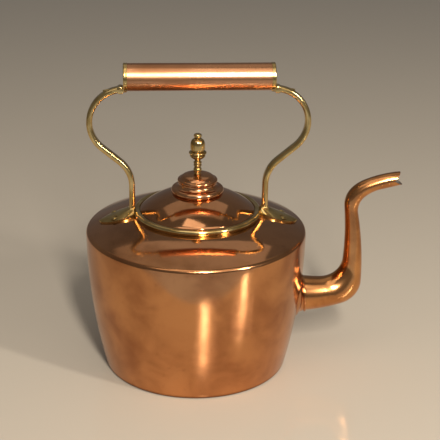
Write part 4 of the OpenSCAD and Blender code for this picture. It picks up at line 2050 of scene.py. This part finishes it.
    def cup_profile(self) -> Profile:
        """Draws the cup under the acorn: its bowl, a fine ring and its beaded lip.

        Returns:
            The points in order, up to the foot of the acorn.
        """
        z, ring, lip = self.boss_top, 0.75, 1.3
        profile = arc((1.6, z + 20), 6.4, -70, -32, 8)
        profile += arc((self.cup_r - 1.9, z + 17.3), ring, -60, 75, 6)
        return profile + arc((self.cup_r - lip, z + 19.8), lip, -75, 85, 12)

    def acorn_profile(self) -> Profile:
        """Draws the acorn, which is fullest low down, and the button on its tip.

        Returns:
            The points in order, up to the axis.
        """
        tip = self.boss_top + self.knob_h
        low, high = self.boss_top + 22.5, tip - 4.4
        # From its middle up, the acorn narrows slowly at first and then fast, to the button.
        middle, turn, rings = low + 3.5, 1.2, 20
        narrowing, full = 0.84, 3.2
        button_x, button = 1.6, 2.1
        profile = [(self.acorn_r - 0.9, low - 0.9), (self.acorn_r - 0.75, low - 0.2)]
        profile += arc((self.acorn_r - turn, low + 1.1), turn, -70, 0, 6)
        for k in (i / rings for i in range(1, rings + 1)):
            r = self.acorn_r * math.sqrt(1 - narrowing * k**full)
            profile.append((r, middle + (high - middle) * k))
        profile += [(2.35, high + 0.3)]
        profile += arc((button_x, tip - button), button, -50, 90, 12)
        return profile + [(0.0, tip)]

    def knob(self) -> bpy.types.Object:
        """Turns the knob: stud, bulb, ringed stem, beaded cup, acorn and button.

        Returns:
            The knob in one piece with its stud.
        """
        profile = self.stem_profile() + self.cup_profile() + self.acorn_profile()
        piece = turned("acorn_finial", profile, self.body.neck_x, steps=96)
        smooth(piece, 35)
        FINISHES.dress(piece, TURNED_BRASS)
        return piece

    def washer(self) -> bpy.types.Object:
        """Turns the washer, domed on top to the lid's underside.

        Returns:
            The washer.
        """
        low, chamfer = self.washer_bottom, 0.3
        profile = [(self.hole_r, low), (self.washer_r - chamfer, low)]
        profile += [(self.washer_r, low + chamfer)]
        profile += self.ball_arc(self.under_r, self.washer_r, self.hole_r, 6)
        piece = self.turned_here("lid_washer", profile, 64)
        smooth(piece)
        FINISHES.dress(piece, CAST_BRASS)
        return piece

    def nut(self) -> bpy.types.Object:
        """Cuts the six-sided nut and its bore, with small chamfers.

        Returns:
            The nut.
        """
        piece = start_rod(self.nut_corner_r, self.nut_h, sides=6)
        piece.name = "stud_nut"
        put(piece, Matrix.Rotation(math.radians(30), 4, "Z"))
        apply_modifier(piece, "BEVEL", width=0.35 * MM, segments=2, limit_method="ANGLE")
        cut_away(piece, start_rod(self.hole_r, 2 * self.nut_h, sides=48))
        middle = self.washer_bottom - self.nut_h / 2
        put(piece, Matrix.Translation((self.body.neck_x * MM, 0, middle * MM)))
        smooth(piece, 25)
        FINISHES.dress(piece, CAST_BRASS)
        return piece

    def build(self) -> None:
        """Makes the pieces of the lid and hands each over to its CAD node."""
        hand_over(self.dome(), "lid_dome", Rides.LID)
        hand_over(self.bezel(), "lid_bezel", Rides.LID)
        hand_over(self.boss(), "lid_boss", Rides.LID)
        hand_over(self.knob(), "acorn_knob", Rides.LID)
        hand_over(self.washer(), "knob_washer", Rides.LID)
        hand_over(self.nut(), "knob_nut", Rides.LID)


# ---------- Studio ----------


@dataclass(frozen=True)
class Softbox:
    """A rectangular light that faces a point.

    Attributes:
        name: Its name.
        place: Where it hangs, in metres.
        target: The point that it faces, in metres.
        size: Its width and height, in metres.
        power: Its power, in watts.
        colour: Its colour.
    """

    name: str
    place: tuple[float, float, float]
    target: tuple[float, float, float]
    size: tuple[float, float]
    power: float
    colour: str = "#ffffff"

    def build(self) -> None:
        """Hangs the light."""
        lamp = bpy.data.lights.new(self.name, "AREA")
        lamp.shape = "RECTANGLE"
        lamp.size, lamp.size_y = self.size
        lamp.energy = self.power
        lamp.color = linear(self.colour)[:3]
        holder = bpy.data.objects.new(self.name, lamp)
        holder.location = self.place
        aim = Vector(self.target) - Vector(self.place)
        holder.rotation_euler = aim.to_track_quat("-Z", "Y").to_euler()
        bpy.context.scene.collection.objects.link(holder)


@dataclass
class Studio:
    """A pale table top in a dim grey room, soft window light and the camera. All in metres.

    Attributes:
        room: Colour of the room.
        room_strength: How bright the room is.
        table: Colour of the table top.
        table_rough: Roughness of its paint.
        table_front: Where its front edge lies along Y.
        table_back: Where its back edge lies along Y.
        table_half: Half its width.
        camera_at: Where the camera stands.
        camera_tilt: How far it is tilted up from looking straight down, in degrees.
        camera_turn: How far it is turned to the left, in degrees.
        camera_roll: How far it is rolled, in degrees.
        lens: Its focal length, in millimetres.
        lights: The lights.
    """

    room: str = "#8e8c89"
    room_strength: float = 0.5
    table: str = "#beb3a3"
    table_rough: float = 0.1
    table_front: float = -0.27
    table_back: float = 4.0
    table_half: float = 3.0
    camera_at: tuple[float, float, float] = (-0.0527, -1.098, 0.582)
    camera_tilt: float = 68.14
    camera_turn: float = -3.9
    camera_roll: float = 0.75
    lens: float = 104.3
    lights: list[Softbox] = field(
        default_factory=lambda: [
            Softbox("window", (0.22, -1.75, 1.35), (0.0, 0.0, 0.1), (0.17, 0.8), 48.0, "#fff8ee"),
            Softbox("side_window", (1.35, -1.2, 1.0), (0, 0, 0.1), (0.11, 0.6), 22.0, "#fff8ee"),
            Softbox("front_strip", (0.0, -0.9, 2.0), (0.0, 0.0, 0.1), (2.6, 0.9), 8.0, "#fff6ea"),
            Softbox("lamp", (-0.12, -0.2, 1.8), (0.0, 0.0, 0.1), (0.7, 0.4), 1.3, "#fff6ea"),
            Softbox("ceiling", (0.0, 0.8, 1.9), (0.0, 0.0, 0.1), (2.0, 1.2), 2.2, "#fff6ea"),
            Softbox("room_floor", (0.1, -1.25, -0.42), (0.0, 0.0, 0.1), (4.0, 0.6), 3.3, "#f2f4fa"),
        ]
    )

    def build(self) -> None:
        """Sets up the floor, the room, the lights and the camera."""
        self.lay_table()
        self.paint_room()
        for light in self.lights:
            light.build()
        self.set_camera()
        bpy.context.scene.view_settings.view_transform = "Standard"

    def lay_table(self) -> None:
        """Lays a plain pale table top that ends in front of the kettle."""
        deselect()
        bpy.ops.mesh.primitive_plane_add(size=1.0)
        top = bpy.context.object
        top.name = "table_top"
        depth = self.table_back - self.table_front
        top.scale = (2 * self.table_half, depth, 1)
        top.location = (0, self.table_front + depth / 2, 0)
        settle(top)
        paint = bpy.data.materials.new("table_paint")
        paint.use_nodes = True
        shader = paint.node_tree.nodes["Principled BSDF"]
        shader.inputs["Base Color"].default_value = linear(self.table)
        shader.inputs["Roughness"].default_value = self.table_rough
        top.data.materials.append(paint)

    def paint_room(self) -> None:
        """Makes the room an even dim grey."""
        world = bpy.data.worlds.new("room")
        world.use_nodes = True
        sky = world.node_tree.nodes["Background"]
        sky.inputs["Color"].default_value = linear(self.room)
        sky.inputs["Strength"].default_value = self.room_strength
        bpy.context.scene.world = world

    def set_camera(self) -> None:
        """Stands the camera in front of the kettle, a little above it."""
        cam = bpy.data.cameras.new("camera")
        cam.lens = self.lens
        cam.clip_start, cam.clip_end = 0.02, 50.0
        holder = bpy.data.objects.new("camera", cam)
        turn = Matrix.Rotation(math.radians(self.camera_turn), 4, "Z")
        tilt = Matrix.Rotation(math.radians(self.camera_tilt), 4, "X")
        roll = Matrix.Rotation(math.radians(self.camera_roll), 4, "Z")
        holder.matrix_world = Matrix.Translation(self.camera_at) @ turn @ tilt @ roll
        bpy.context.scene.collection.objects.link(holder)
        bpy.context.scene.camera = holder


def main() -> None:
    """Builds the kettle and its studio."""
    logging.basicConfig(level=logging.INFO, format="%(name)s: %(message)s")
    body = Body()
    spout = Spout()
    body.build(spout)
    spout.build(body)
    Handle(body).build()
    Lid(body).build()
    Studio().build()


if __name__ == "__main__":
    main()
